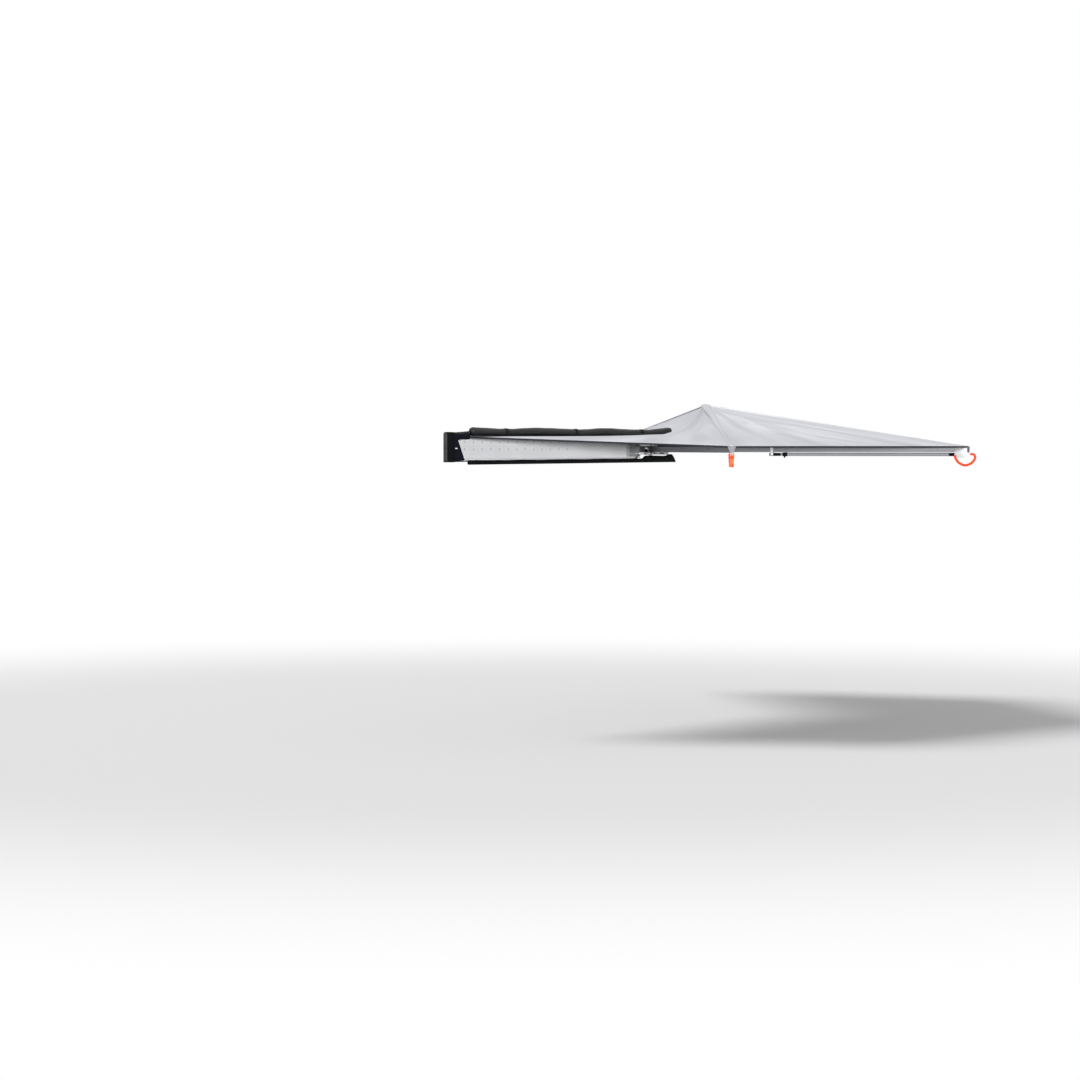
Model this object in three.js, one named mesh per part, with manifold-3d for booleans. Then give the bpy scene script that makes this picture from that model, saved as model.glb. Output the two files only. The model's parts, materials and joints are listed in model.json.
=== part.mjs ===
// Vehicle side awning, 270 degree fan type, open as it is used.
// Millimetres. +X runs along the case to the vehicle's front, +Y points outboard, +Z is up.
// The origin is on the plane of the rack, half way along the case, level with the back plate's middle.
import * as THREE from 'three';
import * as BufferGeometryUtils from 'three/addons/utils/BufferGeometryUtils.js';
import Module from 'manifold-3d';

const wasm = await Module();
wasm.setup();

// Fits
const seatGap = 0.3;
const runningGap = 0.3;
const cutOverrun = 5;
const weldDistance = 0.0001;
const half = 0.5;

// Case: back plate
const caseLength = 2480;
const bracketDepth = 40;
const plateHeight = 150;
const plateWall = 4;
const plateLip = 16;
const plateRearGap = 165;
const rivetHoleRadius = 4.5;
const rivetPitch = 100;
const rivetCount = 13;
const rivetFrontGap = 225;
const rivetRowHeights = [33.5, -16];

// Case: rails at the top and bottom of the plate
const railThick = 4;
const railUpstand = 22;
const canopyRailDepth = 64;
const floorRailDepth = 34;

// Case: rack brackets
const bracketWidth = 60;
const bracketHeight = 120;
const bracketWall = 6;
const bracketBoltRadius = 6.5;
const bracketBoltHead = 5;
const bracketEndGap = 540;

// Case: front end wall
const endWallThick = 12;
const endWallBottom = -104;
const endWallTop = 104;
const endWallFootY = 215;
const endWallWaistY = 165;
const endWallWaistZ = 40;
const endWallNoseY = 262;
const endWallNoseZ = 80;

// Case: soft cover, with its rolled flap above and its tray below
const clothThick = 3;
const coverDepth = 250;
const coverFrontGap = 35;
const coverRearGap = 7;
const rollRadius = 25;
const rollWaist = 3.5;
const rollHeight = 112;
const rollTailRise = 13;
const rollTailLength = 190;
const tieFrontGap = 424;
const tieRearGap = 416;
const tieWidth = 26;
const tieThick = 2;
const tieOpenDegrees = 104;
const lipDepth = 30;
const lipHeight = 32;
const lipBottom = -116;
const lipOverhang = 33;
const sliderLength = 34;
const sliderWidth = 14;
const sliderHeight = 8;
const pullLength = 26;
const pullThick = 3;
const sliderRearGap = 83;

// Hinge at the case's rear end
const pivotRearGap = 75;
const pivotY = 100;
const pinRadius = 8;
const pinHeadRadius = 15;
const pinHeadHeight = 8.5;
const nutHeight = 12;
const nutRadius = 14;
const lowerPlateThick = 18;
const upperPlateThick = 7;
const hingePlateFront = 225;
const hingePlateRear = 57;
const hingePlateOuterY = 240;
const hingePlateCorner = 24;
const hingePlateNarrowY = 130;
const hingeSlotWidth = 20;
const hingeSlotHeight = 8;
const hingeSlotDepth = 14;
const hingeSlotCount = 4;
const hingeSlotPitch = 30;
const washerThick = 2.6;
const washerRadius = 22;
const webLength = 142;
const webHeight = 140;
const webThick = 11.4;
const postDepth = 16;
const postWidth = 16;

// Arms
const armWidth = 28;
const armHeight = 40;
const armTop = 2;
const armWall = 2;
const armRoot = 80;
const armReach = 2360;
const armPitch = 38;
const armFirstOffset = -11;
const armOpenDegrees = [48, 111, 166, 222];
const capFlange = 4;
const capSpigot = 24;
const capBrim = 1;
const knuckleThick = 8.4;
const knucklePitch = 8.8;
const knuckleHub = 24;
const knuckleTongue = 60;

// Canopy
const peakReach = 410;
const peakHeight = 305;
const peakRing = 26;
const seamGap = 0.3;
const panelSag = 26;
const pleatDepth = 7;
const pleatCount = 3;
const hollowPower = 3.5;
const panelColumns = 12;
const panelRows = 20;
const postRadius = 10;
const postBaseWidth = 24;
const postBaseLength = 60;
const postBaseHeight = 16;
const peakCapRadius = 30;
const peakCapThick = 4;

// Corner webbing and tie straps at the arm tips
const tabTopWidth = 60;
const tabFootWidth = 16;
const tabDrop = 45;
const tabThick = 3;
const strapBundleWidth = 46;
const strapBundleHeight = 92;
const strapBundleDepth = 18;
const strapDrop = 6;
const loopLength = 146;
const loopTop = 60;
const loopDrop = 74;
const loopBand = 12;
const loopWidth = 10;
const loopSteps = 24;
const loopArm = 2;
const strapArms = [1, 2];

// Legs, stowed under the second and the last arm
const legArms = [2, 4];
const legDrop = 56;
const legPivotInset = 60;
const legTubeRadius = 12.5;
const legTubeWall = 2;
const legHeadLength = 56;
const legHeadSpigot = 30;
const legEyeRadius = 12;
const legEyeWidth = 20;
const legPinRadius = 4;
const legTubeReach = 1295;
const legInnerRadius = 10;
const legInnerHeadGap = 189.5;
const legInnerOut = 60;
const footRadius = 12;
const footLength = 50;
const footSocket = 20;
const collarRadius = 15.2;
const collarLength = 36;
const collarOverhang = 10;
const knobRadius = 13;
const knobWidth = 12;
const knobDrop = 5;
const knobLever = 21;
const knobLeverWidth = 9;
const legBracketInner = 38;
const legBracketLength = 86;
const legBracketWall = 3;
const legBracketDepth = 78;
const clipOut = 40;
const clipLength = 20;
const clipWall = 3;
const clipTopDrop = 4;
const clipTail = 8;

// Facets
const hexSides = 6;
const roundSides = 24;
const holeSides = 8;
const tubeSides = 16;
const rollSides = 12;
const rollSteps = 36;

// Places that follow from the sizes above
const caseFrontX = caseLength * half;
const innerFrontX = caseFrontX - endWallThick - seatGap;
const plateBackY = bracketDepth + seatGap;
const plateFrontY = plateBackY + plateWall;
const plateTop = plateHeight * half;
const plateRearX = plateRearGap - caseFrontX;
const rivetFirstX = caseFrontX - rivetFrontGap;
const bracketPlaces = [bracketEndGap - caseFrontX, caseFrontX - bracketEndGap];
const coverFrontX = caseFrontX - coverFrontGap;
const coverRearX = coverRearGap - caseFrontX;
const tieSpacing = (caseLength - tieFrontGap - tieRearGap) * half;
const tieMiddleX = (tieRearGap - tieFrontGap) * half;
const lipRearX = coverRearX - lipOverhang;
const sliderX = coverRearX + sliderRearGap;
const pivotX = pivotRearGap - caseFrontX;
const hingePlateFrontX = pivotX + hingePlateFront;
const hingePlateRearX = pivotX - hingePlateRear;
const railTop = plateTop + seatGap + railUpstand;
const railBottom = -railTop;
const roofZ = railTop + seatGap;
const floorTop = railBottom - seatGap;
const canopyCaseZ = plateTop;
const armBottom = armTop - armHeight;
const lowerPlateTop = armBottom - 4 * seatGap;
const lowerPlateBottom = lowerPlateTop - lowerPlateThick;
const upperPlateBottom = armTop + 2 * seatGap;
const upperPlateTop = upperPlateBottom + upperPlateThick;
const webFrontY = plateFrontY + seatGap + webThick;
const postFrontY = webFrontY + postDepth;
const webRearX = plateRearX + 2 * seatGap;
const armInnerTop = armTop - armWall;
const armInnerBottom = armBottom + armWall;
const knuckleBottom = armInnerBottom + 2 * seatGap;
const armFitWidth = armWidth - 2 * armWall - 2 * seatGap;
const capFaceReach = armReach + capFlange + seatGap;
const hemHeight = armTop + seatGap + clothThick;
const legZ = armTop - legDrop;
const legPivotReach = armReach - legPivotInset;
const legTubeFoot = legPivotReach - legTubeReach;
const legInnerFoot = legTubeFoot - legInnerOut;
const clipReach = legInnerFoot - clipOut;
const legBracketReach = legPivotReach - legBracketInner;
const legTubeHead = legPivotReach - legHeadLength - legEyeRadius - legTubeRadius;
const legInnerHead = legTubeHead - legHeadSpigot - legInnerHeadGap;
const armCount = armOpenDegrees.length;

const finishes = {
    aluminium: new THREE.MeshStandardMaterial({ color: 0xb9bcc1, roughness: 0.38, metalness: 0.9 }),
    arm: new THREE.MeshStandardMaterial({ color: 0x8f9297, roughness: 0.42, metalness: 0.85 }),
    steel: new THREE.MeshStandardMaterial({ color: 0xc9cbce, roughness: 0.3, metalness: 1 }),
    plastic: new THREE.MeshStandardMaterial({ color: 0x17181b, roughness: 0.55, metalness: 0 }),
    cover: new THREE.MeshStandardMaterial({ color: 0x1b1c20, roughness: 0.8, metalness: 0 }),
    canopy: new THREE.MeshStandardMaterial({ color: 0xdcdde2, roughness: 0.75, metalness: 0, side: THREE.DoubleSide }),
    webbing: new THREE.MeshStandardMaterial({ color: 0xc9cbd0, roughness: 0.8, metalness: 0 }),
    strap: new THREE.MeshStandardMaterial({ color: 0xd8472f, roughness: 0.75, metalness: 0 }),
    clip: new THREE.MeshStandardMaterial({ color: 0xe9e9ea, roughness: 0.5, metalness: 0 }),
};

const awning = new THREE.Group();

// Adds one named piece to a group
function piece(parent, name, geometry, finish) {
    const mesh = new THREE.Mesh(geometry, finishes[finish]);
    mesh.name = name;
    parent.add(mesh);
}

// Solid geometry helpers
function toSolid(geometry) {
    const plain = geometry.clone();
    plain.deleteAttribute('normal');
    plain.deleteAttribute('uv');
    const merged = BufferGeometryUtils.mergeVertices(plain, weldDistance);
    const vertProperties = new Float32Array(merged.attributes.position.array);
    const triVerts = new Uint32Array(merged.index.array);
    return new wasm.Manifold(new wasm.Mesh({ numProp: 3, vertProperties, triVerts }));
}

function toGeometry(solid) {
    const mesh = solid.getMesh();
    const geometry = new THREE.BufferGeometry();
    geometry.setAttribute('position', new THREE.BufferAttribute(new Float32Array(mesh.vertProperties), 3));
    geometry.setIndex(new THREE.BufferAttribute(new Uint32Array(mesh.triVerts), 1));
    geometry.computeVertexNormals();
    return geometry;
}

function joined(geometries) {
    const solids = geometries.map(toSolid);
    return toGeometry(solids.reduce((whole, next) => whole.add(next)));
}

function cut(geometry, cutters) {
    const tools = cutters.map(toSolid);
    return toGeometry(tools.reduce((whole, next) => whole.subtract(next), toSolid(geometry)));
}

// A box between two corners
function block(x0, x1, y0, y1, z0, z1) {
    const geometry = new THREE.BoxGeometry(x1 - x0, y1 - y0, z1 - z0);
    geometry.translate((x0 + x1) * half, (y0 + y1) * half, (z0 + z1) * half);
    return geometry;
}

function outline(points) {
    return new THREE.Shape(points.map(([a, b]) => new THREE.Vector2(a, b)));
}

// Corners of a regular polygon whose corners lie on a circle
function circlePoints(a, b, radius, sides) {
    const points = [];
    for (let i = 0; i < sides; i += 1) {
        const angle = 2 * Math.PI * (i + half) / sides;
        points.push([a + radius * Math.cos(angle), b + radius * Math.sin(angle)]);
    }
    return points;
}

function extrude(shape, length) {
    return new THREE.ExtrudeGeometry(shape, { depth: length, bevelEnabled: false, steps: 1 });
}

// The outline is drawn in X and Y
function alongZ(shape, z0, z1) {
    return extrude(shape, z1 - z0).translate(0, 0, z0);
}

// The outline is drawn in Y and Z
function alongX(shape, x0, x1) {
    const turn = new THREE.Matrix4().makeBasis(
        new THREE.Vector3(0, 1, 0),
        new THREE.Vector3(0, 0, 1),
        new THREE.Vector3(1, 0, 0),
    );
    return extrude(shape, x1 - x0).applyMatrix4(turn).translate(x0, 0, 0);
}

// The outline is drawn in X and Z
function alongY(shape, y0, y1) {
    const turn = new THREE.Matrix4().makeBasis(
        new THREE.Vector3(1, 0, 0),
        new THREE.Vector3(0, 0, 1),
        new THREE.Vector3(0, -1, 0),
    );
    return extrude(shape, y1 - y0).applyMatrix4(turn).translate(0, y1, 0);
}

function rodX(radius, x0, x1, y, z, sides) {
    return alongX(outline(circlePoints(y, z, radius, sides)), x0, x1);
}

function rodY(radius, y0, y1, x, z, sides) {
    return alongY(outline(circlePoints(x, z, radius, sides)), y0, y1);
}

function rodZ(radius, z0, z1, x, y, sides) {
    return alongZ(outline(circlePoints(x, y, radius, sides)), z0, z1);
}

// A round tube along X
function tubeX(outer, inner, x0, x1, y, z, sides) {
    const shape = outline(circlePoints(y, z, outer, sides));
    shape.holes.push(outline(circlePoints(y, z, inner, sides)));
    return alongX(shape, x0, x1);
}

function signedVolume(positions, index) {
    const a = new THREE.Vector3();
    const b = new THREE.Vector3();
    const c = new THREE.Vector3();
    let volume = 0;
    for (let i = 0; i < index.length; i += 3) {
        a.fromArray(positions, 3 * index[i]);
        b.fromArray(positions, 3 * index[i + 1]);
        c.fromArray(positions, 3 * index[i + 2]);
        volume += a.dot(b.cross(c));
    }
    return volume;
}

// A closed body from its corners and triangles, with its faces turned outwards
function closedBody(points, triangles) {
    const positions = points.flatMap((p) => [p.x, p.y, p.z]);
    const index = triangles.flat();
    const facing = signedVolume(positions, index) < 0 ? index.reverse() : index;
    const geometry = new THREE.BufferGeometry();
    geometry.setAttribute('position', new THREE.Float32BufferAttribute(positions, 3));
    geometry.setIndex(facing);
    geometry.computeVertexNormals();
    return geometry;
}

// A thin closed sheet: pointAt(u, v) gives its upper side, and its lower side lies one thickness below
function sheet(pointAt, columns, rows, thickness) {
    const points = [];
    const triangles = [];
    const width = columns + 1;
    const layer = width * (rows + 1);
    for (let side = 0; side < 2; side += 1) {
        for (let j = 0; j <= rows; j += 1) {
            for (let i = 0; i <= columns; i += 1) {
                const point = pointAt(i / columns, j / rows);
                point.z -= side * thickness;
                points.push(point);
            }
        }
    }
    for (let j = 0; j < rows; j += 1) {
        for (let i = 0; i < columns; i += 1) {
            const a = j * width + i;
            triangles.push([a, a + 1, a + width + 1], [a, a + width + 1, a + width]);
            const b = a + layer;
            triangles.push([b, b + width + 1, b + 1], [b, b + width, b + width + 1]);
        }
    }
    const wall = (a, b) => triangles.push([a, b + layer, b], [a, a + layer, b + layer]);
    for (let i = 0; i < columns; i += 1) {
        wall(i, i + 1);
        wall(rows * width + i + 1, rows * width + i);
    }
    for (let j = 0; j < rows; j += 1) {
        wall((j + 1) * width, j * width);
        wall(j * width + columns, (j + 1) * width + columns);
    }
    return closedBody(points, triangles);
}

// A round body along X whose centre and radius change on the way
function loftX(stations, sides) {
    const points = [];
    const triangles = [];
    stations.forEach(({ x, y, z, radius }) => {
        circlePoints(y, z, radius, sides).forEach(([a, b]) => points.push(new THREE.Vector3(x, a, b)));
    });
    for (let j = 0; j + 1 < stations.length; j += 1) {
        for (let i = 0; i < sides; i += 1) {
            const a = j * sides + i;
            const b = j * sides + (i + 1) % sides;
            triangles.push([a, b, b + sides], [a, b + sides, a + sides]);
        }
    }
    const last = (stations.length - 1) * sides;
    for (let i = 1; i + 1 < sides; i += 1) {
        triangles.push([0, i + 1, i], [last, last + i, last + i + 1]);
    }
    return closedBody(points, triangles);
}

// Back plate: a channel with its lips forward and two rows of rivet holes
function backPlate() {
    const lipY = plateBackY + plateLip;
    const profile = outline([
        [plateBackY, -plateTop], [lipY, -plateTop], [lipY, plateWall - plateTop],
        [plateFrontY, plateWall - plateTop], [plateFrontY, plateTop - plateWall],
        [lipY, plateTop - plateWall], [lipY, plateTop], [plateBackY, plateTop],
    ]);
    const holes = [];
    rivetRowHeights.forEach((z) => {
        for (let i = 0; i < rivetCount; i += 1) {
            const x = rivetFirstX - i * rivetPitch;
            holes.push(rodY(rivetHoleRadius, plateBackY - cutOverrun, plateFrontY + cutOverrun, x, z, holeSides));
        }
    });
    return cut(alongX(profile, plateRearX, innerFrontX), holes);
}

// Rails that hold the cover's roof and the canopy's edge above, and the tray below
function canopyRail() {
    const low = plateTop + seatGap;
    const profile = outline([
        [plateBackY, low], [plateBackY + canopyRailDepth, low],
        [plateBackY + canopyRailDepth, low + railThick], [plateBackY + railThick, low + railThick],
        [plateBackY + railThick, railTop], [plateBackY, railTop],
    ]);
    return alongX(profile, plateRearX, innerFrontX);
}

function floorRail() {
    const high = -plateTop - seatGap;
    const profile = outline([
        [plateBackY, high], [plateBackY, railBottom], [plateBackY + railThick, railBottom],
        [plateBackY + railThick, high - railThick], [plateBackY + floorRailDepth, high - railThick],
        [plateBackY + floorRailDepth, high],
    ]);
    return alongX(profile, plateRearX, innerFrontX);
}

// Rack bracket: a flat pad on the rack, a flat pad on the plate and a web between them, with two bolt heads
function rackBracket(x) {
    const wide = bracketWidth * half;
    const tall = bracketHeight * half;
    const parts = [
        block(x - wide, x + wide, 0, bracketWall, -tall, tall),
        block(x - wide, x + wide, bracketDepth - bracketWall, bracketDepth, -tall, tall),
        block(x - bracketWall * half, x + bracketWall * half, 0, bracketDepth, -tall, tall),
        block(x - wide, x + wide, 0, bracketDepth, -bracketWall * half, bracketWall * half),
    ];
    for (const side of [-1, 1]) {
        const z = side * (tall - 2 * bracketBoltRadius);
        const boltX = x + side * (wide * half + bracketWall * half);
        parts.push(rodY(bracketBoltRadius, bracketWall * half, bracketWall + bracketBoltHead, boltX, z, hexSides));
    }
    return joined(parts);
}

// Front end wall, slanted at its open side, with a nose under the rolled flap
function endWall() {
    const inboard = bracketDepth - 2 * seatGap;
    const profile = outline([
        [inboard, endWallBottom], [endWallFootY, endWallBottom], [endWallWaistY, endWallWaistZ],
        [endWallNoseY, endWallWaistZ], [endWallNoseY, endWallNoseZ], [inboard, endWallTop],
    ]);
    return alongX(profile, caseFrontX - endWallThick, caseFrontX);
}

// Places of the straps that tie the rolled flap
function tiePlaces() {
    return [tieMiddleX + tieSpacing, tieMiddleX, tieMiddleX - tieSpacing];
}

// The rolled flap is thinner where a tie draws it in, and its rear end rises
function rollAt(x) {
    const phase = 2 * Math.PI * (x - tieMiddleX) / tieSpacing;
    const radius = rollRadius - rollWaist * (1 + Math.cos(phase)) * half;
    const tail = Math.max(0, (coverRearX + rollTailLength - x) / rollTailLength);
    return { x, y: coverDepth, z: rollHeight + rollTailRise * tail, radius };
}

// Cover roof with its rolled flap
function coverRoof() {
    const stations = [];
    for (let i = 0; i <= rollSteps; i += 1) {
        stations.push(rollAt(coverRearX + (coverFrontX - coverRearX) * i / rollSteps));
    }
    const roof = block(plateRearX, coverFrontX, plateBackY, coverDepth, roofZ, roofZ + clothThick);
    return joined([loftX(stations, rollSides), roof]);
}

// A strap round the roll, open towards the roof that the roll hangs on
function rollTie(x) {
    const { y, z, radius } = rollAt(x);
    const inner = radius + seatGap;
    const gap = THREE.MathUtils.degToRad(tieOpenDegrees) * half;
    const points = [];
    const arc = (r, from, to) => {
        for (let i = 0; i <= tubeSides; i += 1) {
            const angle = from + (to - from) * i / tubeSides;
            points.push([y + r * Math.cos(angle), z + r * Math.sin(angle)]);
        }
    };
    arc(inner + tieThick, gap - Math.PI, Math.PI - gap);
    arc(inner, Math.PI - gap, gap - Math.PI);
    return alongX(outline(points), x - tieWidth * half, x + tieWidth * half);
}

// Tray of the cover: its floor and the rolled lip at its open side
function coverTray() {
    const floorBottom = floorTop - clothThick;
    const inner = coverDepth - lipDepth * half;
    const outer = coverDepth + lipDepth * half;
    const lipTop = lipBottom + lipHeight;
    const bevel = lipDepth / 4;
    const lip = outline([
        [inner, lipBottom + bevel], [inner + bevel, lipBottom], [outer - bevel, lipBottom],
        [outer, lipBottom + bevel], [outer, lipTop - bevel], [outer - bevel, lipTop],
        [inner + bevel, lipTop], [inner, lipTop - bevel],
    ]);
    const floor = block(coverRearX, innerFrontX, plateBackY, coverDepth, floorBottom, floorTop);
    return joined([floor, alongX(lip, lipRearX, innerFrontX)]);
}

// Slider of the cover's zip, on the lip's top, with its pull
function zipSlider() {
    const low = lipBottom + lipHeight + seatGap;
    const top = low + sliderHeight;
    const y0 = coverDepth - sliderWidth * half;
    const y1 = coverDepth + lipDepth * half + seatGap;
    const x1 = sliderX + sliderLength;
    const pullX = x1 - sliderWidth;
    return joined([
        block(sliderX, x1, y0, y0 + sliderWidth, low, top),
        block(pullX, x1, y0, y1 + pullThick, top - pullThick, top),
        block(pullX, x1, y1, y1 + pullThick, top - pullLength, top),
    ]);
}

// Hinge web on the back plate, with two posts that carry the hinge plates
function hingeWeb() {
    const y0 = plateFrontY + seatGap;
    const tall = webHeight * half;
    const frontX = webRearX + webLength;
    return joined([
        block(webRearX, frontX, y0, webFrontY, -tall, tall),
        block(webRearX, webRearX + postWidth, y0, postFrontY, -tall, tall),
        block(frontX - postWidth, frontX, y0, postFrontY, -tall, tall),
    ]);
}

// Plan of the hinge plates
function hingePlatePlan() {
    const y0 = postFrontY + seatGap;
    const inboard = pivotY - armPitch;
    const c = hingePlateCorner;
    return outline([
        [hingePlateFrontX, y0], [hingePlateFrontX, hingePlateNarrowY],
        [hingePlateFrontX - hingePlateOuterY + hingePlateNarrowY, hingePlateOuterY],
        [hingePlateRearX + c, hingePlateOuterY], [hingePlateRearX, hingePlateOuterY - c],
        [hingePlateRearX, inboard + c], [hingePlateRearX + c, inboard],
        [plateRearX - c, inboard], [plateRearX, y0],
    ]);
}

function pinHole(z0, z1) {
    return rodZ(pinRadius + runningGap, z0 - cutOverrun, z1 + cutOverrun, pivotX, pivotY, roundSides);
}

// Lower hinge plate, with slots in its outer edge
function lowerHingePlate() {
    const slots = [];
    const middle = (lowerPlateTop + lowerPlateBottom) * half;
    for (let i = 0; i < hingeSlotCount; i += 1) {
        const x = pivotX + (i - (hingeSlotCount - 1) * half) * hingeSlotPitch;
        const y0 = hingePlateOuterY - hingeSlotDepth;
        slots.push(block(
            x - hingeSlotWidth * half, x + hingeSlotWidth * half, y0, hingePlateOuterY + cutOverrun,
            middle - hingeSlotHeight * half, middle + hingeSlotHeight * half,
        ));
    }
    const plate = alongZ(hingePlatePlan(), lowerPlateBottom, lowerPlateTop);
    return cut(plate, [pinHole(lowerPlateBottom, lowerPlateTop), ...slots]);
}

function upperHingePlate() {
    const plate = alongZ(hingePlatePlan(), upperPlateBottom, upperPlateTop);
    return cut(plate, [pinHole(upperPlateBottom, upperPlateTop)]);
}

// The common pin of all the arms, with its head below
function hingePin() {
    const headTop = lowerPlateBottom - seatGap;
    const head = rodZ(pinHeadRadius, headTop - pinHeadHeight, headTop, pivotX, pivotY, hexSides);
    const shaftTop = upperPlateTop + seatGap + nutHeight;
    return joined([head, rodZ(pinRadius, headTop - seatGap, shaftTop, pivotX, pivotY, roundSides)]);
}

function hingeNut() {
    const low = upperPlateTop + seatGap;
    return cut(rodZ(nutRadius, low, low + nutHeight, pivotX, pivotY, hexSides), [pinHole(low, low + nutHeight)]);
}

function hingeWasher(z0) {
    const disc = rodZ(washerRadius, z0, z0 + washerThick, pivotX, pivotY, roundSides);
    return cut(disc, [pinHole(z0, z0 + washerThick)]);
}

// Arm tube: a hollow box section. Arm pieces are drawn along X from the pin, then turned by their group.
function armOffset(number) {
    return armFirstOffset + (number - 1) * armPitch;
}

function armTube(number) {
    const y = armOffset(number);
    const wide = armWidth * half;
    const shape = outline([
        [y - wide, armBottom], [y + wide, armBottom], [y + wide, armTop], [y - wide, armTop],
    ]);
    const hollow = wide - armWall;
    shape.holes.push(outline([
        [y - hollow, armInnerBottom], [y + hollow, armInnerBottom],
        [y + hollow, armInnerTop], [y - hollow, armInnerTop],
    ]));
    return alongX(shape, armRoot, armReach);
}

// Knuckle: a flat link from the pin to its arm, each at a height of its own
function armKnuckle(number) {
    const y = armOffset(number);
    const z0 = knuckleBottom + (number - 1) * knucklePitch;
    const z1 = z0 + knuckleThick;
    const wide = armFitWidth * half;
    const bar = outline([
        [-wide, 0], [0, y < 0 ? -knuckleHub + seatGap : -wide], [wide, 0],
        [armRoot, y - wide], [armRoot, y + wide], [0, wide],
    ]);
    const hub = rodZ(knuckleHub, z0, z1, 0, 0, roundSides);
    const tongue = block(armRoot - wide, armRoot + knuckleTongue, y - wide, y + wide, z0, z1);
    const bore = rodZ(pinRadius + runningGap, z0 - cutOverrun, z1 + cutOverrun, 0, 0, roundSides);
    return cut(joined([hub, alongZ(bar, z0, z1), tongue]), [bore]);
}

// End cap of an arm: a flange with a spigot in the tube
function armCap(number) {
    const y = armOffset(number);
    const wide = armWidth * half + capBrim;
    const spigot = armFitWidth * half;
    const x0 = armReach + seatGap;
    return joined([
        block(x0, x0 + capFlange, y - wide, y + wide, armBottom - capBrim, armTop + capBrim),
        block(armReach - capSpigot, x0 + capBrim, y - spigot, y + spigot,
            armInnerBottom + seatGap, armInnerTop - seatGap),
    ]);
}

// Corner webbing of the canopy, hooked over the cap
function cornerTab(number) {
    const y = armOffset(number);
    const x0 = capFaceReach + seatGap;
    const top = hemHeight - capBrim;
    const shape = outline([
        [y - tabTopWidth * half, top], [y - tabFootWidth * half, top - tabDrop],
        [y + tabFootWidth * half, top - tabDrop], [y + tabTopWidth * half, top],
    ]);
    return alongX(shape, x0, x0 + tabThick);
}

// Tie strap, gathered into a bundle that hangs at the arm's tip
function strapBundle(number) {
    const y = armOffset(number);
    const top = armBottom - capBrim - seatGap;
    const x0 = capFaceReach - strapBundleDepth;
    const low = top - strapDrop - strapBundleHeight;
    const wide = strapBundleWidth * half;
    const neck = tabFootWidth * half;
    const shape = outline([
        [y - neck, top], [y - wide, top - strapDrop - wide * half], [y - wide, low + wide * half],
        [y - neck, low], [y + neck, low], [y + wide, low + wide * half],
        [y + wide, top - strapDrop - wide * half], [y + neck, top],
    ]);
    return alongX(shape, x0, x0 + strapBundleDepth);
}

// A flat band of one thickness along a smooth line drawn in X and Z
function bandOutline(points, thickness, steps) {
    const curve = new THREE.SplineCurve(points.map(([a, b]) => new THREE.Vector2(a, b)));
    const sides = [[], []];
    for (let i = 0; i <= steps; i += 1) {
        const at = curve.getPointAt(i / steps);
        const along = curve.getTangentAt(i / steps).setLength(thickness * half);
        sides[0].push([at.x - along.y, at.y + along.x]);
        sides[1].push([at.x + along.y, at.y - along.x]);
    }
    return outline([...sides[0], ...sides[1].reverse()]);
}

// Tie strap that hangs as one open loop from the side of the leg bracket, clear of the leg's swing
const loopShares = [
    [0, 0], [0.03, 0.3], [0.2, 0.75], [0.5, 1], [0.8, 0.82], [0.97, 0.45], [1, 0.15], [0.93, -0.06], [0.76, -0.1],
];

function strapLoop(number) {
    const y1 = armOffset(number) - armWidth * half - legBracketWall - 2 * seatGap;
    const x0 = legBracketReach + loopBand;
    const points = loopShares.map(([a, b]) => [x0 + a * loopLength, armTop - loopTop - b * loopDrop]);
    return alongY(bandOutline(points, loopBand, loopSteps), y1 - loopWidth, y1);
}

// Peak post on the second arm, which holds the canopy's peak up
function peakPost(number) {
    const y = armOffset(number);
    const low = armTop + seatGap;
    const wide = postBaseWidth * half;
    const long = postBaseLength * half;
    return joined([
        block(peakReach - long, peakReach + long, y - wide, y + wide, low, low + postBaseHeight),
        rodZ(postRadius, low, peakHeight, peakReach, y, tubeSides),
    ]);
}

function peakCap(number) {
    const low = peakHeight + seatGap;
    return rodZ(peakCapRadius, low, low + peakCapThick, peakReach, armOffset(number), roundSides);
}

// Leg pieces. The leg lies under its arm with its foot towards the hinge.
function legBracket(number) {
    const y = armOffset(number);
    const x0 = legBracketReach;
    const x1 = x0 + legBracketLength;
    const inner = armWidth * half + seatGap;
    const outer = inner + legBracketWall;
    const low = armTop - legBracketDepth;
    const bridgeTop = armBottom - seatGap;
    return joined([
        block(x0, x1, y - outer, y - inner, low, armTop - capBrim),
        block(x0, x1, y + inner, y + outer, low, armTop - capBrim),
        block(x0, x1, y - outer, y + outer, bridgeTop - legBracketWall, bridgeTop),
        rodY(legPinRadius, y - outer, y + outer, legPivotReach, legZ, tubeSides),
    ]);
}

function legHead(number) {
    const y = armOffset(number);
    const x1 = legPivotReach;
    const width = legEyeWidth * half;
    const eye = rodY(legEyeRadius, y - width, y + width, x1, legZ, tubeSides);
    const neck = block(legTubeHead + legHeadLength, x1, y - width, y + width,
        legZ - legEyeRadius + legPinRadius * half, legZ + legEyeRadius - legPinRadius * half);
    const collar = rodX(legTubeRadius, legTubeHead + seatGap, legTubeHead + legHeadLength + capBrim, y, legZ, tubeSides);
    const spigotRadius = legInnerRadius;
    const spigot = rodX(spigotRadius, legTubeHead - legHeadSpigot, legTubeHead + capBrim, y, legZ, tubeSides);
    const bore = rodY(legPinRadius + runningGap, y - width - cutOverrun, y + width + cutOverrun, x1, legZ, tubeSides);
    return cut(joined([eye, neck, collar, spigot]), [bore]);
}

function legTube(number) {
    const y = armOffset(number);
    return tubeX(legTubeRadius, legTubeRadius - legTubeWall, legTubeFoot, legTubeHead, y, legZ, tubeSides);
}

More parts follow.
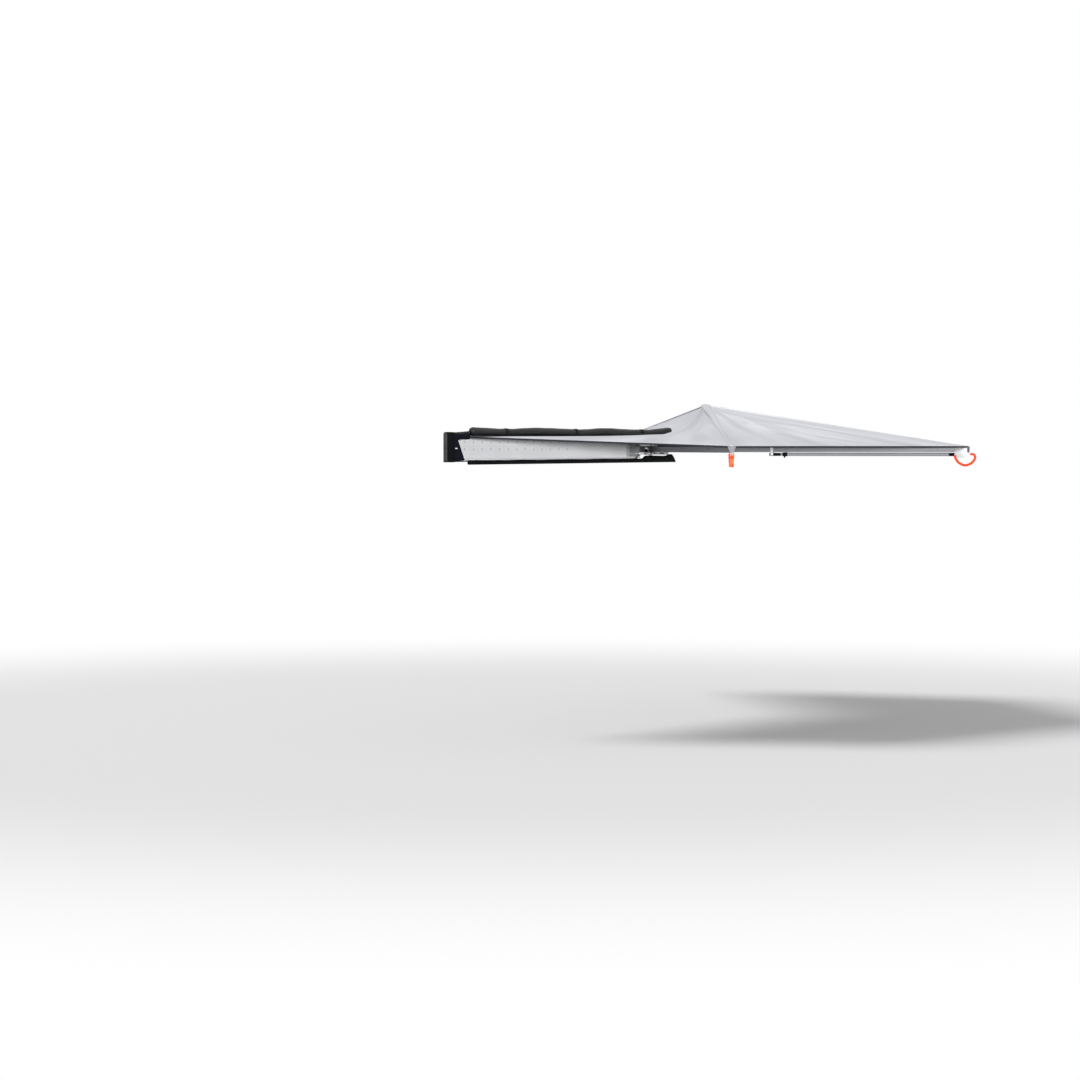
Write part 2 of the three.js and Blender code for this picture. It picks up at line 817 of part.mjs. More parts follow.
function legInner(number) {
    const y = armOffset(number);
    return tubeX(legInnerRadius, legInnerRadius - legTubeWall, legInnerFoot, legInnerHead, y, legZ, tubeSides);
}

function legFoot(number) {
    const y = armOffset(number);
    const plugRadius = legInnerRadius - legTubeWall - seatGap;
    return joined([
        rodX(footRadius, legInnerFoot - seatGap - footLength, legInnerFoot - seatGap, y, legZ, tubeSides),
        rodX(plugRadius, legInnerFoot - footLength * half, legInnerFoot + footSocket, y, legZ, tubeSides),
    ]);
}

function legCollar(number) {
    const y = armOffset(number);
    const x0 = legTubeFoot - collarOverhang;
    const x1 = x0 + collarLength;
    return tubeX(collarRadius, legTubeRadius + seatGap, x0, x1, y, legZ, tubeSides);
}

// Clamp knob at the collar's side, with a short lever that points down
function knobPlace() {
    return { x: legTubeFoot - collarOverhang + collarLength * half, z: legZ - knobDrop };
}

function legKnob(number) {
    const y1 = armOffset(number) - collarRadius - seatGap;
    const { x, z } = knobPlace();
    const wide = knobLeverWidth * half;
    return joined([
        rodY(knobRadius, y1 - knobWidth, y1, x, z, tubeSides),
        block(x - wide, x + wide, y1 - knobWidth, y1 - knobWidth * half, z - knobLever, z),
    ]);
}

// Clip under the arm that holds the stowed leg at its foot
function legClip(number) {
    const y = armOffset(number);
    const inner = footRadius + seatGap;
    const outer = inner + clipWall;
    const side = armWidth * half + seatGap;
    const x1 = clipReach + clipLength;
    const bridgeTop = armBottom - seatGap;
    const bridgeLow = legZ + footRadius + seatGap;
    return joined([
        block(clipReach, x1, y - side - clipWall, y - side, bridgeLow, armTop - clipTopDrop),
        block(clipReach, x1, y + side, y + side + clipWall, bridgeLow, armTop - clipTopDrop),
        block(clipReach, x1, y - side - clipWall, y + side + clipWall, bridgeLow, bridgeTop),
        block(clipReach, x1, y - outer, y - inner, legZ - clipTail, bridgeTop),
        block(clipReach, x1, y + inner, y + outer, legZ - clipTail, bridgeTop),
    ]);
}

// Canopy corners. A reach and an offset along an arm become a place in the part's frame.
function onArm(number, reach, z) {
    const angle = THREE.MathUtils.degToRad(armOpenDegrees[number - 1]);
    const y = armOffset(number);
    return new THREE.Vector3(
        pivotX + reach * Math.cos(angle) - y * Math.sin(angle),
        pivotY + reach * Math.sin(angle) + y * Math.cos(angle),
        z,
    );
}

const peak = onArm(loopArm, peakReach, peakHeight);
const hingeCorner = new THREE.Vector3(pivotX, pivotY, canopyCaseZ);
const caseCorner = new THREE.Vector3(innerFrontX - endWallThick, plateBackY + canopyRailDepth * half, canopyCaseZ);

function canopyTip(number) {
    return onArm(number, armReach, hemHeight);
}

// The canopy starts at a small level ring round the peak
function fromPeak(target) {
    return peak.clone().add(target.clone().sub(peak).setZ(0).setLength(peakRing));
}

// Moves a pair of points towards each other, so that a seam keeps its gap
function drawnIn(a, b) {
    const step = b.clone().sub(a).setLength(seamGap);
    return [a.clone().add(step), b.clone().sub(step)];
}

// Depth of the sag and of the pleats that fan out from the peak
function foldAt(u, v) {
    const sag = panelSag * Math.sin(Math.PI * u) * Math.sin(Math.PI * v);
    const pleats = pleatDepth * Math.sin(2 * Math.PI * pleatCount * u) * Math.sin(Math.PI * v) * (1 - v);
    return pleats - sag;
}

// A panel between two arms: a flat gore with its sag and pleats
function gorePanel(first, second) {
    const [topA, topB] = drawnIn(fromPeak(canopyTip(first)), fromPeak(canopyTip(second)));
    const [hemA, hemB] = drawnIn(canopyTip(first), canopyTip(second));
    const pointAt = (u, v) => {
        const top = topA.clone().lerp(topB, u);
        const hem = hemA.clone().lerp(hemB, u);
        const point = top.lerp(hem, v);
        point.z += foldAt(u, v);
        return point;
    };
    return sheet(pointAt, panelColumns, panelRows, clothThick);
}

// The first panel hangs from the case to the first arm and rises steeply only near the peak
function casePanel() {
    const ringStart = fromPeak(hingeCorner);
    const ridgeTop = fromPeak(canopyTip(1));
    const ridgeFoot = canopyTip(1);
    const ringShare = 1 / panelRows;
    const edgeGap = new THREE.Vector3(0, 0, -seamGap);
    const outerEdgeAt = (u) => {
        if (u < ringShare) return ringStart.clone().lerp(ridgeTop, u / ringShare);
        return ridgeTop.clone().lerp(ridgeFoot, (u - ringShare) / (1 - ringShare));
    };
    const pointAt = (u, v) => {
        const inner = hingeCorner.clone().lerp(caseCorner, u).add(edgeGap);
        const ridge = outerEdgeAt(u);
        const point = inner.clone().lerp(ridge, v);
        const power = hollowPower + (1 - hollowPower) * u;
        point.z = inner.z + (ridge.z - inner.z) * Math.pow(v, power);
        point.x += seamGap * (1 - u);
        point.y -= seamGap * v;
        return point;
    };
    return sheet(pointAt, panelRows, panelColumns, clothThick);
}

// The last panel closes the canopy between the last arm and the hinge
function hingePanel() {
    const edgeGap = new THREE.Vector3(-seamGap, 0, -seamGap);
    const ridgeTop = fromPeak(canopyTip(armCount));
    const ridgeFoot = canopyTip(armCount);
    const inner = hingeCorner.clone().add(edgeGap);
    const innerTop = fromPeak(hingeCorner).add(edgeGap);
    const pointAt = (u, v) => {
        const ridge = ridgeTop.clone().lerp(ridgeFoot, v);
        const seam = innerTop.clone().lerp(inner, v);
        seam.z = inner.z + (innerTop.z - inner.z) * Math.pow(1 - v, hollowPower);
        const point = seam.lerp(ridge, u);
        point.x += seamGap * u;
        point.y -= seamGap * u;
        return point;
    };
    return sheet(pointAt, panelColumns, panelRows, clothThick);
}

function buildCase() {
    piece(awning, 'back_plate', backPlate(), 'aluminium');
    piece(awning, 'canopy_rail', canopyRail(), 'aluminium');
    piece(awning, 'floor_rail', floorRail(), 'aluminium');
    bracketPlaces.forEach((x, i) => piece(awning, `rack_bracket_${i + 1}`, rackBracket(x), 'steel'));
    piece(awning, 'end_wall', endWall(), 'plastic');
    piece(awning, 'cover_roof', coverRoof(), 'cover');
    tiePlaces().forEach((x, i) => piece(awning, `roll_tie_${i + 1}`, rollTie(x), 'plastic'));
    piece(awning, 'cover_tray', coverTray(), 'cover');
    piece(awning, 'zip_slider', zipSlider(), 'plastic');
}

function buildHinge() {
    piece(awning, 'hinge_web', hingeWeb(), 'aluminium');
    piece(awning, 'hinge_plate_lower', lowerHingePlate(), 'aluminium');
    piece(awning, 'hinge_plate_upper', upperHingePlate(), 'aluminium');
    piece(awning, 'hinge_pin', hingePin(), 'steel');
    piece(awning, 'hinge_nut', hingeNut(), 'steel');
    piece(awning, 'hinge_washer_lower', hingeWasher(lowerPlateTop + seatGap), 'plastic');
    piece(awning, 'hinge_washer_upper', hingeWasher(upperPlateBottom - seatGap - washerThick), 'plastic');
}

function buildLeg(arm, number) {
    piece(arm, `leg_bracket_${number}`, legBracket(number), 'steel');
    piece(arm, `leg_clip_${number}`, legClip(number), 'clip');
    piece(arm, `leg_head_${number}`, legHead(number), 'plastic');
    piece(arm, `leg_tube_${number}`, legTube(number), 'aluminium');
    piece(arm, `leg_collar_${number}`, legCollar(number), 'plastic');
    piece(arm, `leg_knob_${number}`, legKnob(number), 'plastic');
    piece(arm, `leg_inner_${number}`, legInner(number), 'aluminium');
    piece(arm, `leg_foot_${number}`, legFoot(number), 'plastic');
}

function buildArm(number) {
    const arm = new THREE.Group();
    arm.position.set(pivotX, pivotY, 0);
    arm.rotation.z = THREE.MathUtils.degToRad(armOpenDegrees[number - 1]);
    piece(arm, `arm_${number}`, armTube(number), 'arm');
    piece(arm, `knuckle_${number}`, armKnuckle(number), 'aluminium');
    piece(arm, `arm_cap_${number}`, armCap(number), 'plastic');
    piece(arm, `corner_tab_${number}`, cornerTab(number), 'webbing');
    if (strapArms.includes(number)) {
        const strap = number === loopArm ? strapLoop(number) : strapBundle(number);
        piece(arm, `tie_strap_${number}`, strap, 'strap');
    }
    if (legArms.includes(number)) buildLeg(arm, number);
    if (number === loopArm) {
        piece(arm, 'peak_post', peakPost(number), 'aluminium');
        piece(arm, 'peak_cap', peakCap(number), 'plastic');
    }
    awning.add(arm);
}

function buildCanopy() {
    piece(awning, 'canopy_panel_1', casePanel(), 'canopy');
    for (let number = 2; number <= armCount; number += 1) {
        piece(awning, `canopy_panel_${number}`, gorePanel(number - 1, number), 'canopy');
    }
    piece(awning, `canopy_panel_${armCount + 1}`, hingePanel(), 'canopy');
}

buildCase();
buildHinge();
for (let number = 1; number <= armCount; number += 1) buildArm(number);
buildCanopy();

export default awning;
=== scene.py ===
# Vehicle side awning, open, in metres and in the part's own frame.
# +X runs along the case to the vehicle's front, +Y points outboard, +Z is up.
import json
import math

import bmesh
import bpy
from mathutils import Matrix, Vector

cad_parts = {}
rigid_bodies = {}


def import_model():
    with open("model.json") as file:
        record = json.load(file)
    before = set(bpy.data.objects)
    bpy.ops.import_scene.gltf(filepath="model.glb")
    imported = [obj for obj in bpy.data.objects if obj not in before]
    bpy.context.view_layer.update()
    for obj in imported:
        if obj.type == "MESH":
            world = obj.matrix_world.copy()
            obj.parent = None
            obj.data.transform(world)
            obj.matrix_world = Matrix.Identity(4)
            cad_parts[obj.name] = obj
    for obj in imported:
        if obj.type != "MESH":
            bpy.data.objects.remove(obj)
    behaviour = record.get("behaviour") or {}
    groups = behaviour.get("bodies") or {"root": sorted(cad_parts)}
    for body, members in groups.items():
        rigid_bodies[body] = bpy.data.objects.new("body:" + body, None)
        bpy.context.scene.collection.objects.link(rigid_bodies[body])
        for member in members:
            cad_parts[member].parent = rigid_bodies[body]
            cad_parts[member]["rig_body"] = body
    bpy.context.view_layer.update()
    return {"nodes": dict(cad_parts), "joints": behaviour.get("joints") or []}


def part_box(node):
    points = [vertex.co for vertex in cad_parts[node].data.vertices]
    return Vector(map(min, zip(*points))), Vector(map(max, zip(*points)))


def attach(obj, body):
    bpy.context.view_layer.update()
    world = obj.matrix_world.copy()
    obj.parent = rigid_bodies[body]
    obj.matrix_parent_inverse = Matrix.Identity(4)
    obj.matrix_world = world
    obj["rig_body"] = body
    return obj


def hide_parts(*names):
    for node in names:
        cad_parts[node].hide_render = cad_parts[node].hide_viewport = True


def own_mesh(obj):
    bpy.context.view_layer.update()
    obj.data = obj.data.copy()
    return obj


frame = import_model()
nodes = frame["nodes"]
joints = {joint["name"]: joint for joint in frame["joints"]}
MM = 0.001
HALF = 0.5
TURN = 2 * math.pi
FORWARD = Vector((1, 0, 0))
OUTWARD = Vector((0, 1, 0))
UP = Vector((0, 0, 1))

# Camera at the photograph's viewing angle
CAMERA_PLACE = Vector((17.755, 13.08, 0.005))
CAMERA_AIM = Vector((-0.804, -0.595, -0.0304))
CAMERA_LENS_MM = 102.7
CAMERA_SENSOR_MM = 36
CAMERA_CLIP_END = 200

# Arms, from the frame
PIVOT = Vector(joints["arm_1_fold"]["pos_m"])
ARM_COUNT = 4
EACH_ARM = range(1, ARM_COUNT + 1)
ARM_STEPS = [-joints[f"arm_{number}_fold"]["range_deg"][0] for number in EACH_ARM]
ARM_ANGLES = [math.radians(sum(ARM_STEPS[:number])) for number in EACH_ARM]
ARM_FIRST_SIDE = -11 * MM
ARM_PITCH = 38 * MM
ARM_WIDTH = 28 * MM
ARM_REACH = 2360 * MM
ARM_BOTTOM, ARM_TOP = (corner.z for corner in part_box("arm_1"))
CAP_REACH = ARM_REACH + 4.3 * MM
PEAK_REACH = 410 * MM
PEAK_ARM = 2
LEG_ARMS = (2, 4)

# Case and hinge, from the frame
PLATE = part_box("back_plate")
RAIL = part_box("canopy_rail")
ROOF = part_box("cover_roof")
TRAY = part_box("cover_tray")
END_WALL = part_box("end_wall")
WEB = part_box("hinge_web")
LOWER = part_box("hinge_plate_lower")
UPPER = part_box("hinge_plate_upper")


# Small sums
def between(pair, share):
    return pair[0] + (pair[1] - pair[0]) * share


def clamped(value, low=0.0, high=1.0):
    return max(low, min(high, value))


def bell(share):
    return math.sin(math.pi * share)


def wave(place, length, start=0.0):
    return math.sin(TURN * place / length + start)


def smooth_step(share):
    return share * share * (3 - 2 * share)


# Rises from 0 to 1 within reach of both ends of a share
def soft_edge(share, reach=0.12):
    return smooth_step(clamped(min(share, 1 - share) / reach))


def in_mm(rows, size=1.0):
    return [(a * MM * size, b * MM * size) for a, b in rows]


def circle(sides, radius=1.0):
    angles = [TURN * step / sides for step in range(sides)]
    return [(radius * math.cos(angle), radius * math.sin(angle)) for angle in angles]


def shares(steps):
    return [step / steps for step in range(steps + 1)]


# Objects
def linked(name, data):
    made = bpy.data.objects.new(name, data)
    bpy.context.scene.collection.objects.link(made)
    return made


def aim(thing, direction):
    thing.rotation_euler = Vector(direction).to_track_quat("-Z", "Y").to_euler()


def crease_edges(mesh, degrees):
    mesh.polygons.foreach_set("use_smooth", [True] * len(mesh.polygons))
    build = bmesh.new()
    build.from_mesh(mesh)
    limit = math.radians(degrees)
    for edge in build.edges:
        edge.smooth = len(edge.link_faces) != 2 or edge.calc_face_angle() < limit
    build.to_mesh(mesh)
    build.free()


# A mesh as a piece on its body, creased where its faces turn by more degrees than given
def placed(name, mesh, body, slot, crease):
    if crease:
        crease_edges(mesh, crease)
    piece = linked(name, mesh)
    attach(piece, body)
    return piece


def add_mesh(name, part, body, slot, material, smooth=True, crease=None):
    points, faces = part
    mesh = bpy.data.meshes.new(name)
    mesh.from_pydata([tuple(point) for point in points], [], faces)
    build = bmesh.new()
    build.from_mesh(mesh)
    bmesh.ops.remove_doubles(build, verts=build.verts, dist=0.01 * MM)
    bmesh.ops.recalc_face_normals(build, faces=build.faces)
    build.to_mesh(mesh)
    build.free()
    for polygon in mesh.polygons:
        polygon.use_smooth = smooth
    mesh.materials.append(material)
    return placed(name, mesh, body, slot, crease)


# Gives a piece its own copy of its mesh
def flatten(piece, anchor):
    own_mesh(piece)


# Bodies, as points and faces
def merged(parts):
    points, faces = [], []
    for part_points, part_faces in parts:
        start = len(points)
        points.extend(part_points)
        faces.extend(tuple(index + start for index in face) for face in part_faces)
    return points, faces


def moved(part, matrix):
    points, faces = part
    return [matrix @ Vector(point) for point in points], faces


# A body through rings of as many points each, with end faces or with its last ring joined to its first
def loft(rings, joined=False):
    count, total = len(rings[0]), len(rings)
    points = [point for ring in rings for point in ring]
    faces = []
    for row in range(total if joined else total - 1):
        here, there = row * count, (row + 1) % total * count
        for index in range(count):
            after = (index + 1) % count
            faces.append((here + index, here + after, there + after, there + index))
    if not joined:
        faces += [tuple(range(count)), tuple(range(len(points) - count, len(points)))]
    return points, faces


def rounded_section(width, height, radius, steps=4):
    across, up = width * HALF - radius, height * HALF - radius
    section = []
    for quarter, (side, rise) in enumerate([(1, 1), (-1, 1), (-1, -1), (1, -1)]):
        for share in shares(steps):
            angle = (quarter + share) * TURN / 4
            section.append((side * across + radius * math.cos(angle), rise * up + radius * math.sin(angle)))
    return section


# The place, level side and rise at each point of a path
def frames_along(path, up=UP, closed=False):
    total = len(path)
    for index, place in enumerate(path):
        if closed:
            along = path[(index + 1) % total] - path[index - 1]
        else:
            along = path[min(index + 1, total - 1)] - path[max(index - 1, 0)]
        side = along.cross(up).normalized()
        yield place, side, side.cross(along).normalized()


# A section carried along a path; its first axis is level and its second points up
def swept(path, section, up=UP, closed=False):
    frames = frames_along(path, up, closed)
    return loft([[place + side * a + rise * b for a, b in section] for place, side, rise in frames], closed)


# A body turned about an axis; the profile is a list of (distance along, radius)
def turned(start, direction, profile, sides=40, joined=False):
    axis = direction.normalized()
    across = axis.cross(UP)
    across = (across if across.length > HALF else axis.cross(FORWARD)).normalized()
    other = axis.cross(across)
    spokes = [across * a + other * b for a, b in circle(sides)]
    return loft([[start + axis * distance + spoke * radius for spoke in spokes]
                 for distance, radius in profile], joined)


def tube_profile(length, outer, inner, bevel):
    return [
        (bevel, outer), (length - bevel, outer), (length, outer - bevel), (length, inner + bevel * HALF),
        (length - bevel * HALF, inner), (bevel * HALF, inner), (0, inner + bevel * HALF), (0, outer - bevel),
    ]


def rod_profile(length, radius, bevel):
    soft = bevel * 0.3
    rise = [(0, radius - 2 * bevel), (0, radius - bevel), (soft, radius - soft), (bevel, radius)]
    return rise + [(length - distance, reach) for distance, reach in reversed(rise)]


def bevel_edges(build, edges, offset, clamp):
    bmesh.ops.bevel(build, geom=edges, offset=offset, segments=2, profile=HALF, affect="EDGES",
                    clamp_overlap=clamp)


def part_of(build):
    build.verts.index_update()
    points = [vert.co.copy() for vert in build.verts]
    faces = [tuple(vert.index for vert in face.verts) for face in build.faces]
    build.free()
    return points, faces


# A block with rounded edges
def soft_block(low, high, bevel):
    build = bmesh.new()
    size = Vector(high) - Vector(low)
    middle = (Vector(high) + Vector(low)) * HALF
    bmesh.ops.create_cube(build, size=1, matrix=Matrix.Translation(middle) @ Matrix.Diagonal((*size, 1)))
    bevel_edges(build, build.edges[:], bevel, False)
    return part_of(build)


# A flat outline of (y, z) in mm between two places along the case, with rounded edges
def wall_solid(outline, rear_x, front_x, bevel):
    points, faces = loft([[Vector((x, y * MM, z * MM)) for y, z in outline] for x in (rear_x, front_x)])
    build = bmesh.new()
    verts = [build.verts.new(point) for point in points]
    for face in faces:
        build.faces.new([verts[index] for index in face])
    bmesh.ops.recalc_face_normals(build, faces=build.faces)
    bevel_edges(build, build.edges[:], bevel, True)
    return part_of(build)


# A sheet with thickness over a surface given by its (u, v) shares
def sheet_between(point_at, columns, rows, thickness):
    points, faces = [], []
    width = columns + 1
    layer = width * (rows + 1)
    for side in range(2):
        for v in shares(rows):
            points += [point_at(u, v) - UP * (side * thickness) for u in shares(columns)]
    for row in range(rows):
        for column in range(columns):
            a = row * width + column
            faces.append((a, a + 1, a + width + 1, a + width))
            faces.append((a + layer, a + width + layer, a + width + 1 + layer, a + 1 + layer))
    border = list(range(width))
    border += [row * width + columns for row in range(1, rows + 1)]
    border += [rows * width + column for column in range(columns - 1, -1, -1)]
    border += [row * width for row in range(rows - 1, 0, -1)]
    for a, b in zip(border, border[1:] + border[:1]):
        faces.append((a, a + layer, b + layer, b))
    return points, faces


def surface_area(point_at, steps=24):
    grid = [[point_at(u, v) for u in shares(steps)] for v in shares(steps)]
    area = 0.0
    for low, high in zip(grid, grid[1:]):
        for a, b, c, d in zip(low, low[1:], high[1:], high):
            area += (c - a).cross(d - b).length * HALF
    return area


def smooth_path(points, steps):
    curve = []
    for index in range(len(points) - 1):
        before = points[max(0, index - 1)]
        a, b = points[index], points[index + 1]
        after = points[min(len(points) - 1, index + 2)]
        for t in shares(steps)[:-1]:
            bend = (b - before) * (1 - t) - (after - a) * t
            curve.append(a.lerp(b, smooth_step(t)) + bend * (HALF * t * (1 - t)))
    curve.append(points[-1])
    return curve


# A point on an arm: its reach from the pin, its place to the side of the arm's middle, and its height
def arm_matrix(number):
    turn = Matrix.Rotation(ARM_ANGLES[number - 1], 4, "Z")
    side = ARM_FIRST_SIDE + (number - 1) * ARM_PITCH
    return Matrix.Translation((PIVOT.x, PIVOT.y, 0)) @ turn @ Matrix.Translation((0, side, 0))


def on_arm(number, reach, side=0.0, height=0.0):
    return arm_matrix(number) @ Vector((reach, side, height))


def arm_turned(number, direction):
    return Matrix.Rotation(ARM_ANGLES[number - 1], 3, "Z") @ direction


# Shader nodes, each made from its settings and its inputs, which are values or sockets to link
class Shading:
    def __init__(self, tree):
        self.tree = tree

    def fill(self, node, inputs):
        for key, value in inputs.items():
            if isinstance(value, bpy.types.NodeSocket):
                self.tree.links.new(value, node.inputs[key])
            else:
                node.inputs[key].default_value = value

    def node(self, kind, inputs=None, **settings):
        made = self.tree.nodes.new(f"ShaderNode{kind}")
        for name, value in settings.items():
            setattr(made, name, value)
        self.fill(made, inputs or {})
        return made

    def scalar(self, operation, *inputs):
        return self.node("Math", dict(enumerate(inputs)), operation=operation).outputs["Value"]

    def vector(self, operation, *inputs):
        outputs = self.node("VectorMath", dict(enumerate(inputs)), operation=operation).outputs
        return outputs["Value" if operation == "LENGTH" else "Vector"]

    def ray(self, kind):
        return self.node("LightPath").outputs[f"Is {kind} Ray"]

    def seen(self):
        return self.scalar("MAXIMUM", self.ray("Camera"), self.ray("Glossy"))


# Materials
class Surface(Shading):
    def __init__(self, name, color, roughness, metallic=0.0, shine=0.5):
        self.material = bpy.data.materials.new(name)
        self.material.use_nodes = True
        super().__init__(self.material.node_tree)
        self.shader = self.tree.nodes["Principled BSDF"]
        self.fill(self.shader, {"Base Color": (*color, 1), "Roughness": roughness})
        self.fill(self.shader, {"Metallic": metallic, "Specular IOR Level": shine})
        self.color = color
        self.roughness = roughness
        self.place = self.node("TexCoord").outputs["Object"]
        self.relief = None

    def scaled(self, scale):
        return self.node("Mapping", {"Scale": scale, "Vector": self.place}).outputs["Vector"]

    def noise(self, scale, detail, where=None):
        inputs = {"Scale": scale, "Detail": detail, "Vector": where or self.place}
        return self.node("TexNoise", inputs).outputs["Fac"]

    def waves(self, scale, direction):
        inputs = {"Scale": scale, "Vector": self.place}
        return self.node("TexWave", inputs, bands_direction=direction).outputs["Fac"]

    def ramp(self, factor, low, high, start, end):
        made = self.node("ValToRGB", {"Fac": factor})
        for element, color, position in zip(made.color_ramp.elements, (low, high), (start, end)):
            element.position = position
            element.color = (*color, 1)
        return made.outputs["Color"]

    def vary_color(self, factor, spread):
        low = [c * (1 - spread) for c in self.color]
        high = [min(1.0, c * (1 + spread)) for c in self.color]
        self.fill(self.shader, {"Base Color": self.ramp(factor, low, high, 0.3, 0.7)})

    def vary_roughness(self, factor, below, above):
        inputs = {"Value": factor, "To Min": self.roughness - below, "To Max": self.roughness + above}
        self.fill(self.shader, {"Roughness": self.node("MapRange", inputs).outputs["Result"]})

    def bump(self, factor, strength, distance_mm):
        inputs = {"Height": factor, "Strength": strength, "Distance": distance_mm * MM}
        if self.relief:
            inputs["Normal"] = self.relief
        self.relief = self.node("Bump", inputs).outputs["Normal"]
        self.fill(self.shader, {"Normal": self.relief})


DRAWN_GRAIN = (4, 260, 260)
EVEN_GRAIN = (80, 80, 80)


def metal(name, color, roughness, metallic, grain=DRAWN_GRAIN, shine=0.5):
    made = Surface(name, color, roughness, metallic, shine)
    drawn = made.noise(1.0, 3.0, made.scaled(grain))
    made.vary_roughness(drawn, 0.07, 0.09)
    made.bump(drawn, 0.12, 0.3)
    made.vary_color(made.noise(3.5, 5.0), 0.05)
    return made.material


def plastic(name, color, roughness, shine=0.5):
    made = Surface(name, color, roughness, shine=shine)
    made.vary_color(made.noise(22, 6.0), 0.18)
    made.vary_roughness(made.noise(60, 4.0), 0.08, 0.1)
    made.bump(made.noise(1400, 2.0), 0.25, 0.15)
    return made.material


# A cloth's creases and threads
def woven(made, threads):
    made.bump(made.noise(9.0, 5.0), 0.4, 2.5)
    for direction in "XY":
        made.bump(made.waves(threads, direction), 0.12, 0.15)
    return made.material


def patch_cloth(name, color, threads):
    made = Surface(name, color, 0.6, shine=0.3)
    made.fill(made.shader, {"Sheen Weight": 0.05, "Sheen Roughness": 0.5})
    made.vary_color(made.noise(2.6, 6.0), 0.05)
    return woven(made, threads)


# The canopy's cloth, with painted shade and light: pale and dark streaks in its colour that run out from the
# peak, standing in for the shading of its tension folds
FOLD_SHADE_SPREAD = 0.13
FOLD_SHADE_AROUND = 7.0
FOLD_SHADE_ALONG = 0.7


def canopy_cloth(name, color, threads):
    made = Surface(name, color, 0.85, shine=0.08)
    peak = on_arm(PEAK_ARM, PEAK_REACH)
    away = made.vector("SUBTRACT", made.place, (peak.x, peak.y, 0))
    split = made.node("SeparateXYZ", {"Vector": away}).outputs
    around = made.scalar("ARCTAN2", split["Y"], split["X"])
    spread = made.node("CombineXYZ", {"X": around, "Y": made.vector("LENGTH", away)}).outputs["Vector"]
    painted_fold_shade = made.vector("MULTIPLY", spread, (FOLD_SHADE_AROUND, FOLD_SHADE_ALONG, 1))
    # painted shade and light of the tension folds, as streaks in the colour
    made.vary_color(made.noise(1.0, 2.5, painted_fold_shade), FOLD_SHADE_SPREAD)
    return woven(made, threads)


def coated_cloth(name, color, roughness, shine):
    made = Surface(name, color, roughness, shine=shine)
    made.vary_color(made.noise(1.0, 5.0, made.scaled((3, 30, 30))), 0.35)
    made.vary_roughness(made.noise(1.0, 4.0, made.scaled((5, 40, 40))), 0.12, 0.14)
    made.bump(made.noise(1.0, 4.0, made.scaled((4, 55, 55))), 0.6, 4)
    made.bump(made.waves(150, "X"), 0.1, 0.1)
    return made.material


def webbing(name, color, ribs=120):
    made = Surface(name, color, 0.75, shine=0.25)
    made.vary_color(made.noise(90, 4.0), 0.14)
    made.bump(made.waves(ribs, "Z"), 0.45, 0.4)
    made.bump(made.waves(ribs, "X"), 0.2, 0.3)
    return made.material


SILVER = metal("silver_aluminium", (0.74, 0.745, 0.76), 0.42, 0.05, shine=0.3)
GREY = metal("grey_aluminium", (0.27, 0.274, 0.287), 0.5, 0.0, shine=0.12)
# A darker copy of the silver aluminium: painted shade on the hinge parts under the canopy
HINGE_METAL_PAINTED_SHADE = metal("hinge_aluminium_painted_shade", (0.42, 0.42, 0.43), 0.42, 0.2)
# A darker copy of the silver aluminium: painted dark reflection on the leg tubes
TUBE_METAL_PAINTED_REFLECTION = metal("drawn_tube_painted_reflection", (0.38, 0.385, 0.4), 0.3, 0.4)
RAIL_METAL = metal("dark_rail", (0.02, 0.02, 0.023), 0.5, 0.1)
STEEL = metal("plated_steel", (0.8, 0.81, 0.83), 0.26, 0.8, EVEN_GRAIN)
RIVET_METAL = metal("rivet_metal", (0.42, 0.425, 0.44), 0.5, 0.3, EVEN_GRAIN)
BLACK_PLASTIC = plastic("black_plastic", (0.0045, 0.005, 0.006), 0.55, 0.05)
NAVY_PLASTIC = plastic("inner_wall_plastic", (0.0055, 0.006, 0.01), 0.6, 0.05)
# A lighter copy of the black plastic: painted highlight along the end wall's edge, on its rib
RIB_PLASTIC_PAINTED_HIGHLIGHT = plastic("rib_plastic_painted_highlight", (0.045, 0.045, 0.046), 0.7, 0.25)
WHITE_PLASTIC = plastic("white_plastic", (0.78, 0.78, 0.78), 0.4)
# The cover cloth as two copies: this darker one is painted shade, for the lip beneath the roll; the roof and
# floor share it
COVER = coated_cloth("black_cover", (0.003, 0.0032, 0.0037), 0.55, 0.05)
# The roll's copy of the same cloth, painted lighter and shinier: painted light on the lit roll
ROLL_PAINTED_LIGHT = coated_cloth("rolled_cover_painted_light", (0.009, 0.0093, 0.0105), 0.45, 0.35)
CANOPY = canopy_cloth("grey_canopy", (0.7, 0.705, 0.745), 52)
PEAK_CLOTH = patch_cloth("peak_patch", (0.66, 0.665, 0.7), 120)
HEM = webbing("dark_hem", (0.02, 0.021, 0.027), 60)
GREY_WEBBING = webbing("grey_webbing", (0.3, 0.305, 0.33))
BLACK_WEBBING = webbing("black_webbing", (0.009, 0.009, 0.011))
ORANGE = webbing("orange_strap", (0.78, 0.075, 0.02))
# A lighter copy of the orange strap: painted light on the turns of the hank that catch the lamps
ORANGE_PAINTED_LIGHT = webbing("orange_strap_painted_light", (0.88, 0.2, 0.08))

